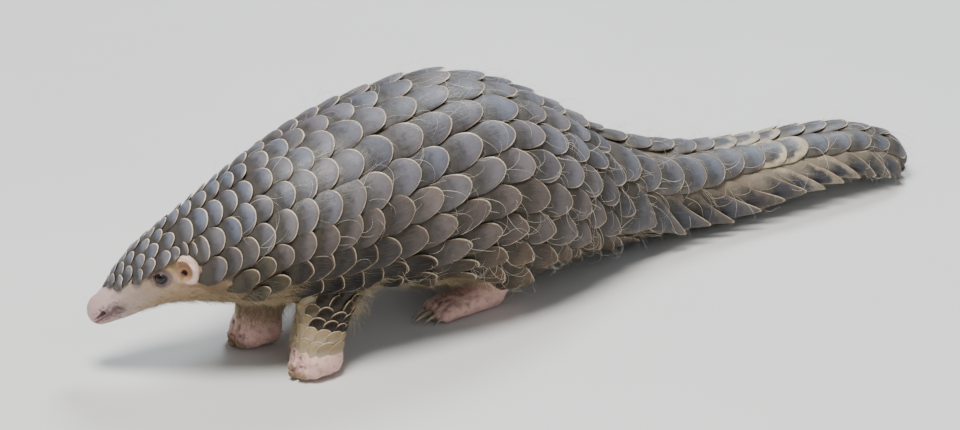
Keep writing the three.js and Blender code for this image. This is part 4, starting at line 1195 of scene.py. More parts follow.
def horn_scales(name, shine, low, high):
    m = Nodes(name)
    edge, y, x = m.parts(m.attr("shield").outputs["Vector"])
    rnd, across, cream = m.parts(m.attr("extra").outputs["Vector"])
    horn = m.attr("horn")
    base, deep = horn.outputs["Color"], horn.outputs["Alpha"]
    n1, n2, n3 = m.noise(60, 4, 0.6), m.noise(420, 3), m.noise(1500, 2)
    n4 = m.noise(170, 4, 0.6)
    col = m.mix(m.ramp(n1, 0.38, 0.72, 0.0, 0.50), base, m.mix(0.55, base, (0.070, 0.046, 0.030)))
    col = m.mix(m.ramp(n4, 0.48, 0.74, 0.0, 0.55), col, m.mix(0.5, base, (0.012, 0.010, 0.009)))
    pale_base = m.mix(0.20, base, (0.28, 0.26, 0.27))
    col = m.mix(m.ramp(m.math("ADD", y, m.math("MULTIPLY", n2, 0.25)), 0.92, 0.60, 0.0, 0.10), col, pale_base)
    # fine lines along the scale, strongest near its root
    line = m.node("ShaderNodeTexNoise", noise_dimensions="2D")
    comb = m.node("ShaderNodeCombineXYZ")
    m.put(comb.inputs[0], m.math("MULTIPLY", across, 21.0))
    m.put(comb.inputs[1], m.math("ADD", m.math("MULTIPLY", y, 2.2), m.math("MULTIPLY", rnd, 40.0)))
    m.link(comb.outputs[0], line.inputs["Vector"])
    line.inputs["Scale"].default_value, line.inputs["Detail"].default_value = 1.0, 2.0
    lines = m.ramp(line.outputs[0], 0.50, 0.68)
    fade = m.ramp(y, 0.95, 0.62, 0.10, 1.0)
    col = m.mix(m.math("MULTIPLY", m.math("MULTIPLY", lines, fade), 0.30), col, (0.26, 0.24, 0.25))
    # growth rings following the free edge
    ring = m.math("SINE", m.math("ADD", m.math("MULTIPLY", edge, 62.0), m.math("MULTIPLY", n1, 9.0)))
    col = m.mix(m.ramp(ring, 0.2, 1.0, 0.0, 0.10), col, (0.03, 0.025, 0.022))
    # worn bright scratches and dust
    scratch = m.ramp(m.noise(150, 3, 0.5), 0.60, 0.78, 0.0, 0.22)
    col = m.mix(scratch, col, (0.25, 0.24, 0.24))
    e2 = m.math("ADD", edge, m.math("MULTIPLY", m.math("SUBTRACT", n2, 0.5), 0.06))
    brown = m.mix(0.55, base, (0.16, 0.088, 0.042))
    col = m.mix(m.ramp(e2, 0.34, 0.12, 0.0, 0.75), col, brown)
    worn = m.math("ADD", m.math("MULTIPLY", n1, 0.9), m.math("MULTIPLY", y, 0.35))
    wide = m.ramp(worn, 0.44, 0.84, 0.32, 1.28)
    # painted shade: the pale rims are darker in the less shiny materials of the lower flank and the legs
    k = 1.0 if shine > 0.3 else 0.70
    pale = m.mix(m.ramp(n2, 0.35, 0.7), (0.56 * k, 0.43 * k, 0.27 * k), (0.86 * k, 0.79 * k, 0.66 * k))
    pale = m.mix(m.ramp(y, 0.95, 0.66, 0.0, 0.60), pale, brown)
    col = m.mix(m.ramp(m.math("DIVIDE", e2, wide), 0.105, 0.040, 0.0, m.ramp(worn, 0.44, 0.80, 0.30, 0.97)), col, pale)
    # painted shade: towards the root each scale is darkened to near black, by the strength deep; where deep is weak the
    # root turns cream
    shade = m.math("MULTIPLY", m.ramp(m.math("ADD", y, m.math("MULTIPLY", m.math("SUBTRACT", n4, 0.5), 0.3)), 0.52, 0.88, 1.0, 0.0), deep)
    col = m.mix(shade, col, (0.008, 0.006, 0.005))
    root = m.math("MULTIPLY", m.math("SUBTRACT", 1.0, deep), m.ramp(m.math("ADD", y, m.math("MULTIPLY", n2, 0.2)), 0.86, 0.54, 0.0, 0.85))
    col = m.mix(root, col, (0.42, 0.35, 0.25))
    patch = m.math("ADD", m.math("MULTIPLY", n1, 0.8), m.math("ADD", m.math("MULTIPLY", n4, 0.45), m.ramp(edge, 1.20, 0.05, 0.0, 0.42)))
    col = m.mix(m.math("MULTIPLY", cream, m.ramp(patch, 0.66, 0.98)), col, m.mix(m.ramp(n4, 0.35, 0.7), (0.40, 0.31, 0.19), (0.62, 0.52, 0.36)))
    rough = m.ramp(n4, 0.3, 0.7, low, high)
    h = m.math("ADD", m.math("MULTIPLY", lines, 0.8), m.math("MULTIPLY", ring, 0.14))
    b1 = m.bump(h, 0.35, 0.0003)
    b2 = m.bump(n2, 0.22, 0.0006, b1)
    b3 = m.bump(n4, 0.35, 0.0012, b2)
    return m.finish(col, rough, b3, shine)


def skin_material():
    m = Nodes("skin")
    tone = m.attr("tone").outputs["Color"]
    n1, n2, n3 = m.noise(70, 4), m.noise(480, 4, 0.6), m.noise(1800, 3, 0.6)
    col = m.mix(m.ramp(n1, 0.35, 0.75, 0.0, 0.25), tone, m.mix(0.5, tone, (0.45, 0.24, 0.20)))
    col = m.mix(m.ramp(n2, 0.50, 0.80, 0.0, 0.50), col, m.mix(0.55, tone, (0.20, 0.12, 0.11)))
    vor = m.node("ShaderNodeTexVoronoi", feature="DISTANCE_TO_EDGE")
    m.link(m.place, vor.inputs["Vector"])
    vor.inputs["Scale"].default_value = 620
    cells = m.ramp(vor.outputs["Distance"], 0.0, 0.25)
    b1 = m.bump(cells, 0.25, 0.00025)
    b2 = m.bump(n2, 0.35, 0.0006, b1)
    return m.finish(col, m.ramp(n2, 0.3, 0.7, 0.42, 0.62), b2, 0.45, Subsurface_Weight=0.12, Subsurface_Scale=0.002)


def claw_material():
    m = Nodes("claw_horn")
    along, a, b = m.parts(m.attr("along").outputs["Vector"])
    n1 = m.noise(160, 3, 0.5, stretch=(1.0, 0.15, 1.0))
    n2 = m.noise(900, 3, 0.5, stretch=(1.0, 0.1, 1.0))
    col = m.mix(m.ramp(n1, 0.3, 0.7, 0.0, 1.0), (0.42, 0.34, 0.25), (0.30, 0.22, 0.15))
    col = m.mix(m.ramp(along, 0.15, 0.95, 0.0, 0.55), col, (0.56, 0.49, 0.38))
    col = m.mix(m.ramp(along, 0.12, 0.0, 0.0, 0.6), col, (0.20, 0.12, 0.10))
    return m.finish(col, m.ramp(n2, 0.3, 0.7, 0.30, 0.46), m.bump(n2, 0.3, 0.0004), 0.5)


def eye_material():
    m = Nodes("eyeball")
    rad, a, b = m.parts(m.attr("along").outputs["Vector"])
    n1 = m.noise(900, 3)
    iris = m.mix(m.ramp(n1, 0.35, 0.65), (0.035, 0.020, 0.014), (0.012, 0.008, 0.008))
    white = m.mix(m.ramp(n1, 0.4, 0.7), (0.16, 0.11, 0.10), (0.09, 0.06, 0.06))
    col = m.mix(m.ramp(rad, 0.40, 0.46), (0.002, 0.002, 0.003), iris)
    col = m.mix(m.ramp(rad, 0.80, 0.88), col, white)
    return m.finish(col, m.ramp(n1, 0.2, 0.8, 0.035, 0.06), None, 0.45)


def hair_material(name, a, b, c):
    m = Nodes(name)
    along, rnd, k = m.parts(m.attr("strand").outputs["Vector"])
    col = m.mix(m.ramp(rnd, 0.0, 1.0), a, b)
    col = m.mix(m.ramp(along, 0.35, 0.0, 0.0, 0.6), col, c)
    n = m.noise(700, 2)
    col = m.mix(m.ramp(n, 0.3, 0.8, 0.0, 0.3), col, c)
    return m.finish(col, m.ramp(n, 0.2, 0.8, 0.42, 0.58), None, 0.4)


def floor_material():
    m = Nodes("pale_floor")
    n = m.noise(3.0, 4)
    n2 = m.noise(180, 4)
    col = m.mix(m.ramp(n, 0.3, 0.7), (0.70, 0.69, 0.665), (0.735, 0.725, 0.70))
    return m.finish(col, m.ramp(n2, 0.2, 0.8, 0.62, 0.75), m.bump(n2, 0.05, 0.0004), 0.3)


def sphere_mesh(name, c, r, axis, nu=64, nv=40):
    """a smooth ball whose pole looks along the axis"""
    a = unit(np.cross(axis, [0.1, 0.2, 1.0]))
    b = np.cross(axis, a)
    th = np.linspace(0.0, math.pi, nv + 1)[1:-1]
    V, at_ = [c + axis * r], [0.0]
    for t in th:
        for j in range(nu):
            p = 2 * math.pi * j / nu
            bulge = 1 + 0.05 * math.exp(-((t / 0.75) ** 2) * 1.2)
            V.append(c + r * bulge * (axis * math.cos(t) + (a * math.cos(p) + b * math.sin(p)) * math.sin(t)))
            at_.append(t / 1.25)
    V[0] = c + axis * r * 1.05
    V.append(c - axis * r)
    at_.append(math.pi / 1.25)
    F = [(0, 1 + j, 1 + (j + 1) % nu) for j in range(nu)]
    for i in range(len(th) - 1):
        F += [(1 + i * nu + j, 1 + (i + 1) * nu + j, 1 + (i + 1) * nu + (j + 1) % nu, 1 + i * nu + (j + 1) % nu) for j in range(nu)]
    last = len(V) - 1
    F += [(last, 1 + (len(th) - 1) * nu + (j + 1) % nu, 1 + (len(th) - 1) * nu + j) for j in range(nu)]
    ob = new_mesh(name, np.array(V), F)
    attribute(ob.data, "along", "FLOAT_VECTOR", np.array([(t, 0, 0) for t in at_]))
    return ob


def dress(ob, mat, nodes=()):
    ob.data.materials.clear()
    ob.data.materials.append(mat)
    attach(ob, "root")
    if nodes:
        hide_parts(*nodes)
    return ob


MAT_SKIN, MAT_CLAW, MAT_EYE = skin_material(), claw_material(), eye_material()
# the lower flank and leg materials differ in shine and have darker rims, painted shade
MAT_SCALE = {"upper": horn_scales("horny_scales", 0.48, 0.34, 0.50), "lower": horn_scales("horny_scales_below_painted_shade", 0.16, 0.40, 0.58), "legs": horn_scales("horny_scales_legs_painted_shade", 0.08, 0.44, 0.60)}
for ob in SCALE_OBS:
    dress(ob, MAT_SCALE["legs" if "legs" in ob.name else "lower" if "lower" in ob.name else "upper"])

# the colours of the skin are laid on by place: pink snout, cream cheek, tan behind the eye, olive jaw, pink feet
skin = new_mesh("skin", SKIN_V, SKIN_T)
qs, angs, fs = body.coords(SKIN_V)
qm, deg = qs * 1000, np.abs(np.degrees(angs))


def paint(tone, mask, colour, amount=1.0):
    return tone + (np.array(colour) - tone) * (np.clip(mask, 0, 1) * amount)[:, None]


def spot(q, d, rq, rd):
    return np.exp(-(((qm - q) / rq) ** 2 + ((deg - d) / rd) ** 2))


tone = np.tile([0.16, 0.125, 0.09], (len(SKIN_V), 1))
tone = paint(tone, smooth(106, 94, qm), (0.40, 0.28, 0.18))
tone = paint(tone, smooth(74, 48, qm), (0.41, 0.315, 0.265))
tone = paint(tone, smooth(44, 26, qm) * smooth(92, 66, deg), (0.66, 0.48, 0.43), 0.85)
tone = paint(tone, smooth(24, 8, qm), (0.50, 0.33, 0.32))
tone = paint(tone, smooth(90, 122, deg) * smooth(24, 60, qm) * smooth(205, 150, qm), (0.30, 0.205, 0.105), 0.88)
tone = paint(tone, smooth(86, 100, qm) * smooth(150, 125, qm) * smooth(80, 92, deg) * smooth(135, 115, deg), (0.20, 0.13, 0.078), 0.8)
tone = paint(tone, spot(77, 62, 9, 10), (0.40, 0.21, 0.085), 0.85)
tone = paint(tone, spot(90, 62, 8, 10), (0.34, 0.20, 0.10), 0.7)
tone = paint(tone, spot(95, 98, 13, 18), (0.29, 0.175, 0.10), 0.8)
tone = paint(tone, smooth(88, 94, qm) * smooth(46, 56, deg) * smooth(106, 96, deg) * smooth(150, 120, qm), (0.145, 0.100, 0.070), 0.88)
tone = paint(tone, spot(60, 66, 6, 6), (0.38, 0.27, 0.20), 0.6)
mottle = smooth(-0.9, 0.7, ripple(SKIN_V + 0.3, 0.0042))
tone = paint(tone, spot(23.5, 95, 8.5, 20) * 1.6 * (0.22 + 0.78 * mottle), (0.070, 0.042, 0.046), 0.92)
tone = paint(tone, spot(26.6, 88, 4.0, 8), (0.050, 0.030, 0.036), 0.9)
tone = paint(tone, spot(20, 97, 7, 10), (0.20, 0.11, 0.12), 0.8)
tone = paint(tone, spot(13, 118, 8, 14), (0.22, 0.12, 0.12), 0.6)
tone = paint(tone, spot(24, 74, 5, 5), (0.30, 0.17, 0.17), 0.5)
tone = paint(tone, spot(29, 58, 4.5, 6), (0.40, 0.27, 0.20), 0.5)
tone = paint(tone, spot(9, 100, 4, 9), (0.50, 0.24, 0.24), 0.8)
tone = paint(tone, spot(13, 86, 4, 7), (0.36, 0.19, 0.20), 0.6)
specks = ripple(SKIN_V, 0.0036) + 0.6 * ripple(SKIN_V + 0.2, 0.0020)
tone = paint(tone, smooth(0.7, 1.5, specks) * smooth(36, 26, qm) * smooth(55, 75, deg) * (qm > 6), (0.12, 0.07, 0.075), 0.85)
low = SKIN_V[:, 2]
limb = np.minimum.reduce([loft_field(l, SKIN_V, 0.01)[0] for l in [*legs.values(), *feet.values()]])
pads = smooth(0.047, 0.034, low) * smooth(0.0030, 0.0015, limb) * (np.abs(fs) > 0.004)
tone = paint(tone, smooth(560, 620, qm) * smooth(752, 738, qm) * (low > 0.004), (0.27, 0.22, 0.155))
tone = paint(tone, pads, (0.74, 0.47, 0.40))
tone = paint(tone, pads * (SKIN_V[:, 1] > 0.0), (0.42, 0.275, 0.215), 0.9)
tone = paint(tone, pads * smooth(0.6, 1.6, ripple(SKIN_V, 0.0090)), (0.50, 0.29, 0.26), 0.6)
tone = paint(tone, pads * smooth(0.9, 1.9, ripple(SKIN_V + 0.7, 0.0050)), (0.34, 0.21, 0.17), 0.55)
for s, (c, n, fwd, up) in EYES.items():
    d = SKIN_V - c
    x, y = d @ fwd, d @ up
    near = (d @ n > 0)
    x1, x2 = 0.82 * x + 0.57 * y, -0.57 * x + 0.82 * y
    rr = np.sqrt((x1 / 0.0082) ** 2 + (x2 / 0.0066) ** 2)
    tone = paint(tone, smooth(1.36, 0.86, rr) * near, (0.115, 0.086, 0.083), 0.95)
    tone = paint(tone, (np.sin(rr * 26) > 0.3) * smooth(1.2, 1.0, rr) * smooth(0.6, 0.7, rr) * near, (0.24, 0.175, 0.155), 0.5)
    tone = paint(tone, smooth(0.76, 0.58, rr) * near, (0.030, 0.022, 0.025), 0.92)
for s in (1, -1):
    c = at(83.7, 76.6, s)
    n = body.normal(np.array(0.0837), np.array(s * 76.6 * RAD))
    fwd = at(79.7, 76.6, s) - c
    fwd = unit(fwd - n * (fwd @ n))
    up = np.cross(n, fwd)
    up = up if up[2] > 0 else -up
    d = SKIN_V - c
    x, y, z = -(d @ fwd) * 1000, (d @ up) * 1000, (d @ n) * 1000
    close = (np.hypot(x, y) < 16) & (z > -8) & (z < 9)
    out, inn = np.hypot((x - 1.5) / 8.3, (y + 0.9) / 11.7), np.hypot((x + 2.3) / 6.9, (y + 1.0) / 8.1)
    rim = smooth(1.03, 0.97, out) * smooth(0.94, 1.06, inn) * close
    tone = paint(tone, smooth(1.10, 0.70, inn) * smooth(-9.0, -4.5, x) * close, (0.34, 0.18, 0.085), 0.9)
    # painted shadow: a dark band just outside the ear's outer rim, under its free edge
    tone = paint(tone, smooth(1.06, 1.00, out) * smooth(0.98, 1.02, out) * close, (0.22, 0.13, 0.09), 0.5)
    tone = paint(tone, rim, (0.70, 0.50, 0.41))
    tone = paint(tone, rim * smooth(1.22, 1.05, inn), (0.60, 0.36, 0.28), 0.6)
    tone = paint(tone, smooth(1.6, 0.8, np.hypot((x + 8.6) / 1.7, (y + 4.0) / 3.6)) * close, (0.60, 0.38, 0.30), 0.8)
    # painted shade: the ear hole is painted near black
    tone = paint(tone, smooth(2.4, 1.5, np.hypot((x + 2.4) / 1.25, (y + 2.8) / 1.5)) * close, (0.10, 0.035, 0.030), 0.9)
    tone = paint(tone, smooth(1.7, 1.1, np.hypot((x + 2.4) / 1.25, (y + 2.8) / 1.5)) * close, (0.012, 0.006, 0.006))
    # painted shade: the nostril slits are painted near black in their hollows; the mouth slit gets a dark red line
    for rows, col in ((NOSTRILS[s], (0.035, 0.015, 0.015)), (MOUTH[s], (0.14, 0.06, 0.06))):
        f, _ = tube_field(SKIN_V, rows)
        tone = paint(tone, smooth(0.0004, -0.00005, f), col, 0.95)
# painted shade: the clefts between the toes are darkened, the small pits of the forefoot nearly black
for rows, k in CLEFTS:
    f, _ = tube_field(SKIN_V, rows, 0.008)
    tone = paint(tone, smooth(0.0006, -0.0001, f), (0.34, 0.19, 0.17) if len(rows) > 2 else (0.09, 0.05, 0.05), 0.55 if len(rows) > 2 else 0.9)
attribute(skin.data, "tone", "FLOAT_COLOR", np.hstack([tone, np.ones((len(tone), 1))]))
FLESH = ["head", "neck", "chest", "trunk_front", "trunk_rear", "rump", "tail_1", "tail_2", "tail_3", "tail_4"] + [
    p + "_" + s for p in ("ear", "foreleg", "forefoot", "hindleg", "hindfoot") for s in ("left", "right")]
dress(skin, MAT_SKIN, FLESH)

for s, side in ((1, "left"), (-1, "right")):
    c, n, fwd, up = EYES[s]
    dress(sphere_mesh("eyeball_" + side, c, EYE["r"] * 0.985, n), MAT_EYE, ["eye_" + side])


def claw_mesh(name, x, y0, z0, ln, r, direction, tip_z, sag):
    """a curved, tapering claw, flat below, with a blunt tip"""
    nr, ns = 26, 20
    rows = []
    for i in range(nr):
        f = i / (nr - 1)
        k = max(r * (1 - 0.86 * f**1.4), 0.5) * (1.0 if f < 0.97 else 0.72)
        y = y0 + direction * (ln * f - 3.0 * (f < 0.001))
        z = z0 + (tip_z - z0) * f + sag * math.sin(math.pi * f)
        rows.append((x, y, z, k))
    V, al = [], []
    for i, (cx, cy, cz, k) in enumerate(rows):
        for j in range(ns):
            a = 2 * math.pi * j / ns
            dx, dz = math.sin(a), math.cos(a)
            hz = k * (1.02 if dz > 0 else 0.86)
            ridge = 1 + 0.05 * math.exp(-((a if a < math.pi else a - 2 * math.pi) / 0.35) ** 2)
            V.append((cx + 0.80 * k * dx, cy, max(cz + hz * dz * ridge, 0.0)))
            al.append((i / (nr - 1), 0, 0))
    F = [(i * ns + j, i * ns + (j + 1) % ns, (i + 1) * ns + (j + 1) % ns, (i + 1) * ns + j) for i in range(nr - 1) for j in range(ns)]
    V += [(rows[0][0], rows[0][1], rows[0][2]), (rows[-1][0], rows[-1][1] + direction * 0.35, rows[-1][2])]
    al += [(0, 0, 0), (1, 0, 0)]
    F += [(len(V) - 2, (j + 1) % ns, j) for j in range(ns)] + [(len(V) - 1, (nr - 1) * ns + j, (nr - 1) * ns + (j + 1) % ns) for j in range(ns)]
    V = np.array(V) / 1000 + [OX, OY, 0]
    if direction < 0:
        F = [f[::-1] for f in F]
    ob = new_mesh(name, V, F)
    attribute(ob.data, "along", "FLOAT_VECTOR", np.array(al))
    return ob


for side, sgn in (("left", 1), ("right", -1)):
    cx, cy = FORE_AT[side]
    for i, (x, root, z, ln, r) in enumerate(FORE_CLAWS):
        nm = "claw_fore_%s_%d" % (side, i + 1)
        dress(claw_mesh(nm + "_horn", cx + x, cy + root, z, ln, r, 1, 1.6, 0.8), MAT_CLAW, [nm])
    cx, cy = HIND_MID_X + sgn * 33.0, HIND_Y[side]
    for i, (x, root, z, ln, r) in enumerate(HIND_CLAWS):
        nm = "claw_hind_%s_%d" % (side, i + 1)
        dress(claw_mesh(nm + "_horn", cx + x, cy + root, z, ln, r, -1, 1.5, 1.6), MAT_CLAW, [nm])


# =====================================================================================
# Hair: thin solid strands, three-sided and tapered, joined into a few pieces
# =====================================================================================
def strand_piece(name, paths, radius, rnd, places, mat):
    """paths: (n, m, 3) points of each strand from its root; places: where the root lies on the unrolled skin, 0..1"""
    n, m, _ = paths.shape
    T = unit(np.gradient(paths, axis=1))
    ref = unit(rng.normal(size=(n, 1, 3)))
    A = unit(np.cross(T, ref))
    B = np.cross(T, A)
    t = np.linspace(0, 1, m)[None, :, None]
    R = radius[:, None, None] * (1 - 0.82 * t**1.3)
    ring = np.stack([paths + R * (A * math.cos(a) + B * math.sin(a)) for a in (0, 2.0944, 4.1888)], 2)      # n, m, 3, 3
    V = ring.reshape(-1, 3)
    V[:, 2] = np.maximum(V[:, 2], 0.0003)
    i, j = np.meshgrid(np.arange(m - 1), np.arange(3), indexing="ij")
    i, j = i.ravel(), j.ravel()
    j2 = (j + 1) % 3
    Q = np.stack([i * 3 + j, i * 3 + j2, (i + 1) * 3 + j2, (i + 1) * 3 + j], 1)
    tri = np.vstack([Q[:, [0, 1, 2]], Q[:, [0, 2, 3]], [[0, 2, 1]], [[(m - 1) * 3, (m - 1) * 3 + 1, (m - 1) * 3 + 2]]])
    F = (tri[None] + (np.arange(n) * m * 3)[:, None, None]).reshape(-1, 3)
    ob = new_mesh(name, V, F)
    al = np.broadcast_to(t[:, :, None, :], (n, m, 3, 1))
    rr = np.broadcast_to(rnd[:, None, None, None], (n, m, 3, 1))
    attribute(ob.data, "strand", "FLOAT_VECTOR", np.concatenate([al, rr, np.zeros_like(rr)], -1).reshape(-1, 3))
    # a patch of its own for each strand, 0.003 across, at its root's place
    G = 320
    lo, hi = places.min(0), places.max(0)
    cell = np.clip(((places - lo) / (hi - lo + 1e-9) * (G - 1)).astype(int), 0, G - 1)
    used, spots = set(), np.zeros((n, 2))
    for k in range(n):
        x, y, r = int(cell[k, 0]), int(cell[k, 1]), 0
        while True:
            found = None
            for dx in range(-r, r + 1):
                for dy in ((-r, r) if abs(dx) != r else range(-r, r + 1)):
                    c = (x + dx, y + dy)
                    if 0 <= c[0] < G and 0 <= c[1] < G and c not in used:
                        found = c
                        break
                if found:
                    break
            if found:
                break
            r += 1
        used.add(found)
        spots[k] = found
    w = 0.0029
    gx = lambda jj: jj / 3 * 0.72 * w
    gy = lambda ii: ii / (m - 1) * w
    quad = np.stack([np.stack([gx(j), gy(i)], -1), np.stack([gx(j + 1), gy(i)], -1), np.stack([gx(j + 1), gy(i + 1)], -1), np.stack([gx(j), gy(i + 1)], -1)], 1)
    cap = np.array([[[0.78 * w, 0], [0.98 * w, 0], [0.88 * w, 0.4 * w]], [[0.78 * w, 0.5 * w], [0.98 * w, 0.5 * w], [0.88 * w, 0.95 * w]]])
    loc = np.concatenate([quad[:, [0, 1, 2]], quad[:, [0, 2, 3]], cap[:, ::1]], 0)
    uv = loc[None] + (spots / G)[:, None, None, :] + 0.0001
    lay = ob.data.uv_layers.new(name="OFBake")
    lay.data.foreach_set("uv", uv.astype(np.float32).ravel())
    dress(ob, mat)
    return ob


fn = np.cross(SKIN_V[SKIN_T[:, 1]] - SKIN_V[SKIN_T[:, 0]], SKIN_V[SKIN_T[:, 2]] - SKIN_V[SKIN_T[:, 0]])
AREA = 0.5 * np.linalg.norm(fn, axis=1)
FN = unit(fn)
MID = SKIN_V[SKIN_T].mean(1)
TQ, TD = qm[SKIN_T].mean(1), deg[SKIN_T].mean(1)
TQ_, TA_ = TQ, angs[SKIN_T[:, 0]]
LEGS_NEAR = np.minimum.reduce([loft_field(l, MID, 0.01)[0] for l in legs.values()])
FEET_NEAR = np.minimum.reduce([loft_field(l, MID, 0.01)[0] for l in feet.values()])


def roots(weight, n):
    """n places on the skin, picked by area and weight: the points, the normals, and where they lie"""
    w = AREA * np.clip(weight, 0, None)
    pick = rng.choice(len(w), n, p=w / w.sum())
    b = rng.dirichlet((1, 1, 1), n)
    P = (SKIN_V[SKIN_T[pick]] * b[:, :, None]).sum(1)
    return P, FN[pick], TQ[pick], TA_[pick], pick


def grow(P, N, D, length, rise, droop, curl, m):
    """strands from roots: D the lie of the coat, rise how steeply they leave the skin, droop a fall under their weight"""
    n = len(P)
    D = unit(D - N * np.sum(D * N, axis=1, keepdims=True))
    side = np.cross(N, D)
    t = np.linspace(0, 1, m)[None, :, None]
    L = length[:, None, None]
    ph = rng.random((n, 1, 1)) * 6.28
    up = rise[:, None, None] * (t - 0.55 * t**2)
    path = P[:, None] + L * (D[:, None] * t * (1 - 0.18 * rise[:, None, None]) + N[:, None] * up)
    path = path + L * curl[:, None, None] * side[:, None] * (np.sin(4.2 * t + ph) - np.sin(ph)) * t
    path[:, :, 2] -= (L * droop[:, None, None] * t**2)[:, :, 0]
    path -= N[:, None] * 0.0003 * (1 - t)
    return path


def lie(q, a):
    """the direction from head to tail along the body"""
    return body.look(q / 1000)[:, 3:6]


# fuzz of the face: short, lying back, tan above and behind the eye, straw-coloured under the jaw
def gauss(q, d, rq, rd):
    return np.exp(-(((TQ - q) / rq) ** 2 + ((TD - d) / rd) ** 2))


clear = np.ones(len(MID))
for s, (c, n, fwd, up) in EYES.items():
    clear *= smooth(0.0058, 0.0075, np.linalg.norm(MID - c, axis=1))
    dd = MID - at(83.7, 76.6, s)
    n_ = body.normal(np.array(0.0837), np.array(s * 76.6 * RAD))
    fw = at(79.7, 76.6, s) - at(83.7, 76.6, s)
    fw = unit(fw - n_ * (fw @ n_))
    up_ = np.cross(n_, fw)
    up_ = up_ if up_[2] > 0 else -up_
    ex, ey = -(dd @ fw) * 1000, (dd @ up_) * 1000
    clear *= np.where(np.abs(dd @ n_) < 0.012, smooth(0.95, 1.08, np.hypot((ex - 1.5) / 8.3, (ey + 0.9) / 11.7)) + 0.8 * smooth(0.95, 0.80, np.hypot((ex + 3.0) / 6.5, (ey + 1.0) / 8.1)) * smooth(-1.5, -4.5, ex + 0.4 * ey), 1.0)
on_body = np.abs(fs[SKIN_T].mean(1)) < 0.009
clear = clear * on_body
off_leg = smooth(0.001, 0.004, LEGS_NEAR) * on_body

P, N, q, a, pick = roots(clear * (0.25 * smooth(30, 50, TQ) * smooth(105, 95, TQ) + 1.0 * gauss(80, 64, 14, 12) + 0.9 * gauss(92, 98, 12, 16) + 0.5 * gauss(55, 80, 18, 20)) * smooth(8, -2, -(TD - np.interp(TQ, BARE[:, 0], BARE[:, 1]) - 2)) * (TQ > 26) * (TQ < 112), 9400)
n = len(P)
D = lie(q, a) + rng.normal(size=(n, 3)) * 0.22
D[:, 2] -= 0.10
paths = grow(P, N, D, rng.uniform(0.0022, 0.0050, n) * np.interp(q, [30, 60, 100], [0.5, 0.8, 1.25]), rng.uniform(0.10, 0.32, n), np.full(n, 0.05), rng.uniform(0.0, 0.07, n), 4)
HAIR_TAN = hair_material("tan_fuzz", (0.36, 0.235, 0.105), (0.64, 0.49, 0.29), (0.28, 0.18, 0.095))
strand_piece("hair_face", paths, rng.uniform(0.00004, 0.00007, n), rng.random(n), np.stack([q, np.degrees(a)], 1), HAIR_TAN)

# jaw and throat: longer, olive-straw, hanging
P, N, q, a, pick = roots(clear * off_leg * smooth(100, 122, TD) * smooth(22, 45, TQ) * smooth(215, 190, TQ) * (MID[:, 2] > 0.040) * (0.4 + smooth(60, 120, TQ)), 6000)
n = len(P)
D = lie(q, a) + rng.normal(size=(n, 3)) * 0.25
D[:, 2] -= 0.30
paths = grow(P, N, D, rng.uniform(0.006, 0.013, n) * np.interp(q, [22, 60, 110, 200], [0.45, 0.75, 1.1, 1.35]), rng.uniform(0.15, 0.55, n), np.full(n, 0.16), rng.uniform(0.02, 0.14, n), 6)
HAIR_OLIVE = hair_material("straw_hair", (0.25, 0.172, 0.085), (0.60, 0.49, 0.31), (0.085, 0.058, 0.035))
strand_piece("hair_throat", paths, rng.uniform(0.00007, 0.00011, n), rng.random(n), np.stack([q, np.degrees(a)], 1), HAIR_OLIVE)

# belly and its edge, lying back
edge_w = np.exp(-(((TD - np.interp(TQ, BARE[:, 0], BARE[:, 1]) - 2) / 9) ** 2))
P, N, q, a, pick = roots(off_leg * smooth(0.003, 0.006, FEET_NEAR) * (TQ > 175) * (TQ < 455) * (TD > 112) * (MID[:, 2] > 0.030) * (0.35 * smooth(0, 8, TD - np.interp(TQ, BARE[:, 0], BARE[:, 1])) + 2.2 * edge_w), 6000)
n = len(P)
D = lie(q, a) + rng.normal(size=(n, 3)) * 0.16
D[:, 2] -= 0.34
paths = grow(P, N, D, rng.uniform(0.012, 0.028, n), rng.uniform(0.12, 0.42, n), np.full(n, 0.14), rng.uniform(0.02, 0.12, n), 6)
strand_piece("hair_belly", paths, rng.uniform(0.00009, 0.00014, n), rng.random(n), np.stack([q, np.degrees(a)], 1), HAIR_OLIVE)

# legs: a brush behind the elbow, straw-coloured hair down the front and the inner side, short hair round the shanks
back_of, shank, apron = np.zeros(len(MID)), np.zeros(len(MID)), np.zeros(len(MID))
for nm, lf in legs.items():
    f, g, ql, al, nl = loft_field(lf, MID, 0.01)
    w = np.zeros(len(MID))
    w[nl] = (f[nl] < 0.004)
    behind, inner = np.zeros(len(MID)), np.zeros(len(MID))
    behind[nl] = smooth(0.0, -0.7, np.cos(al)) if ql is not None else 0
    out_sin = 1 if nm.endswith("left") else -1
    inner[nl] = smooth(-0.25, 0.35, np.sin(al) * out_sin) if ql is not None else 0
    if nm.startswith("fore"):
        back_of += w * behind * smooth(0.036, 0.046, MID[:, 2]) * smooth(0.090, 0.070, MID[:, 2])
        apron += w * inner * (1 - behind) * smooth(0.024, 0.036, MID[:, 2]) * smooth(0.105, 0.085, MID[:, 2])
    else:
        shank += 1.0 * smooth(0.0, 0.003, FEET_NEAR) * w * smooth(0.016, 0.024, MID[:, 2]) * smooth(0.085, 0.060, MID[:, 2])
groups = []
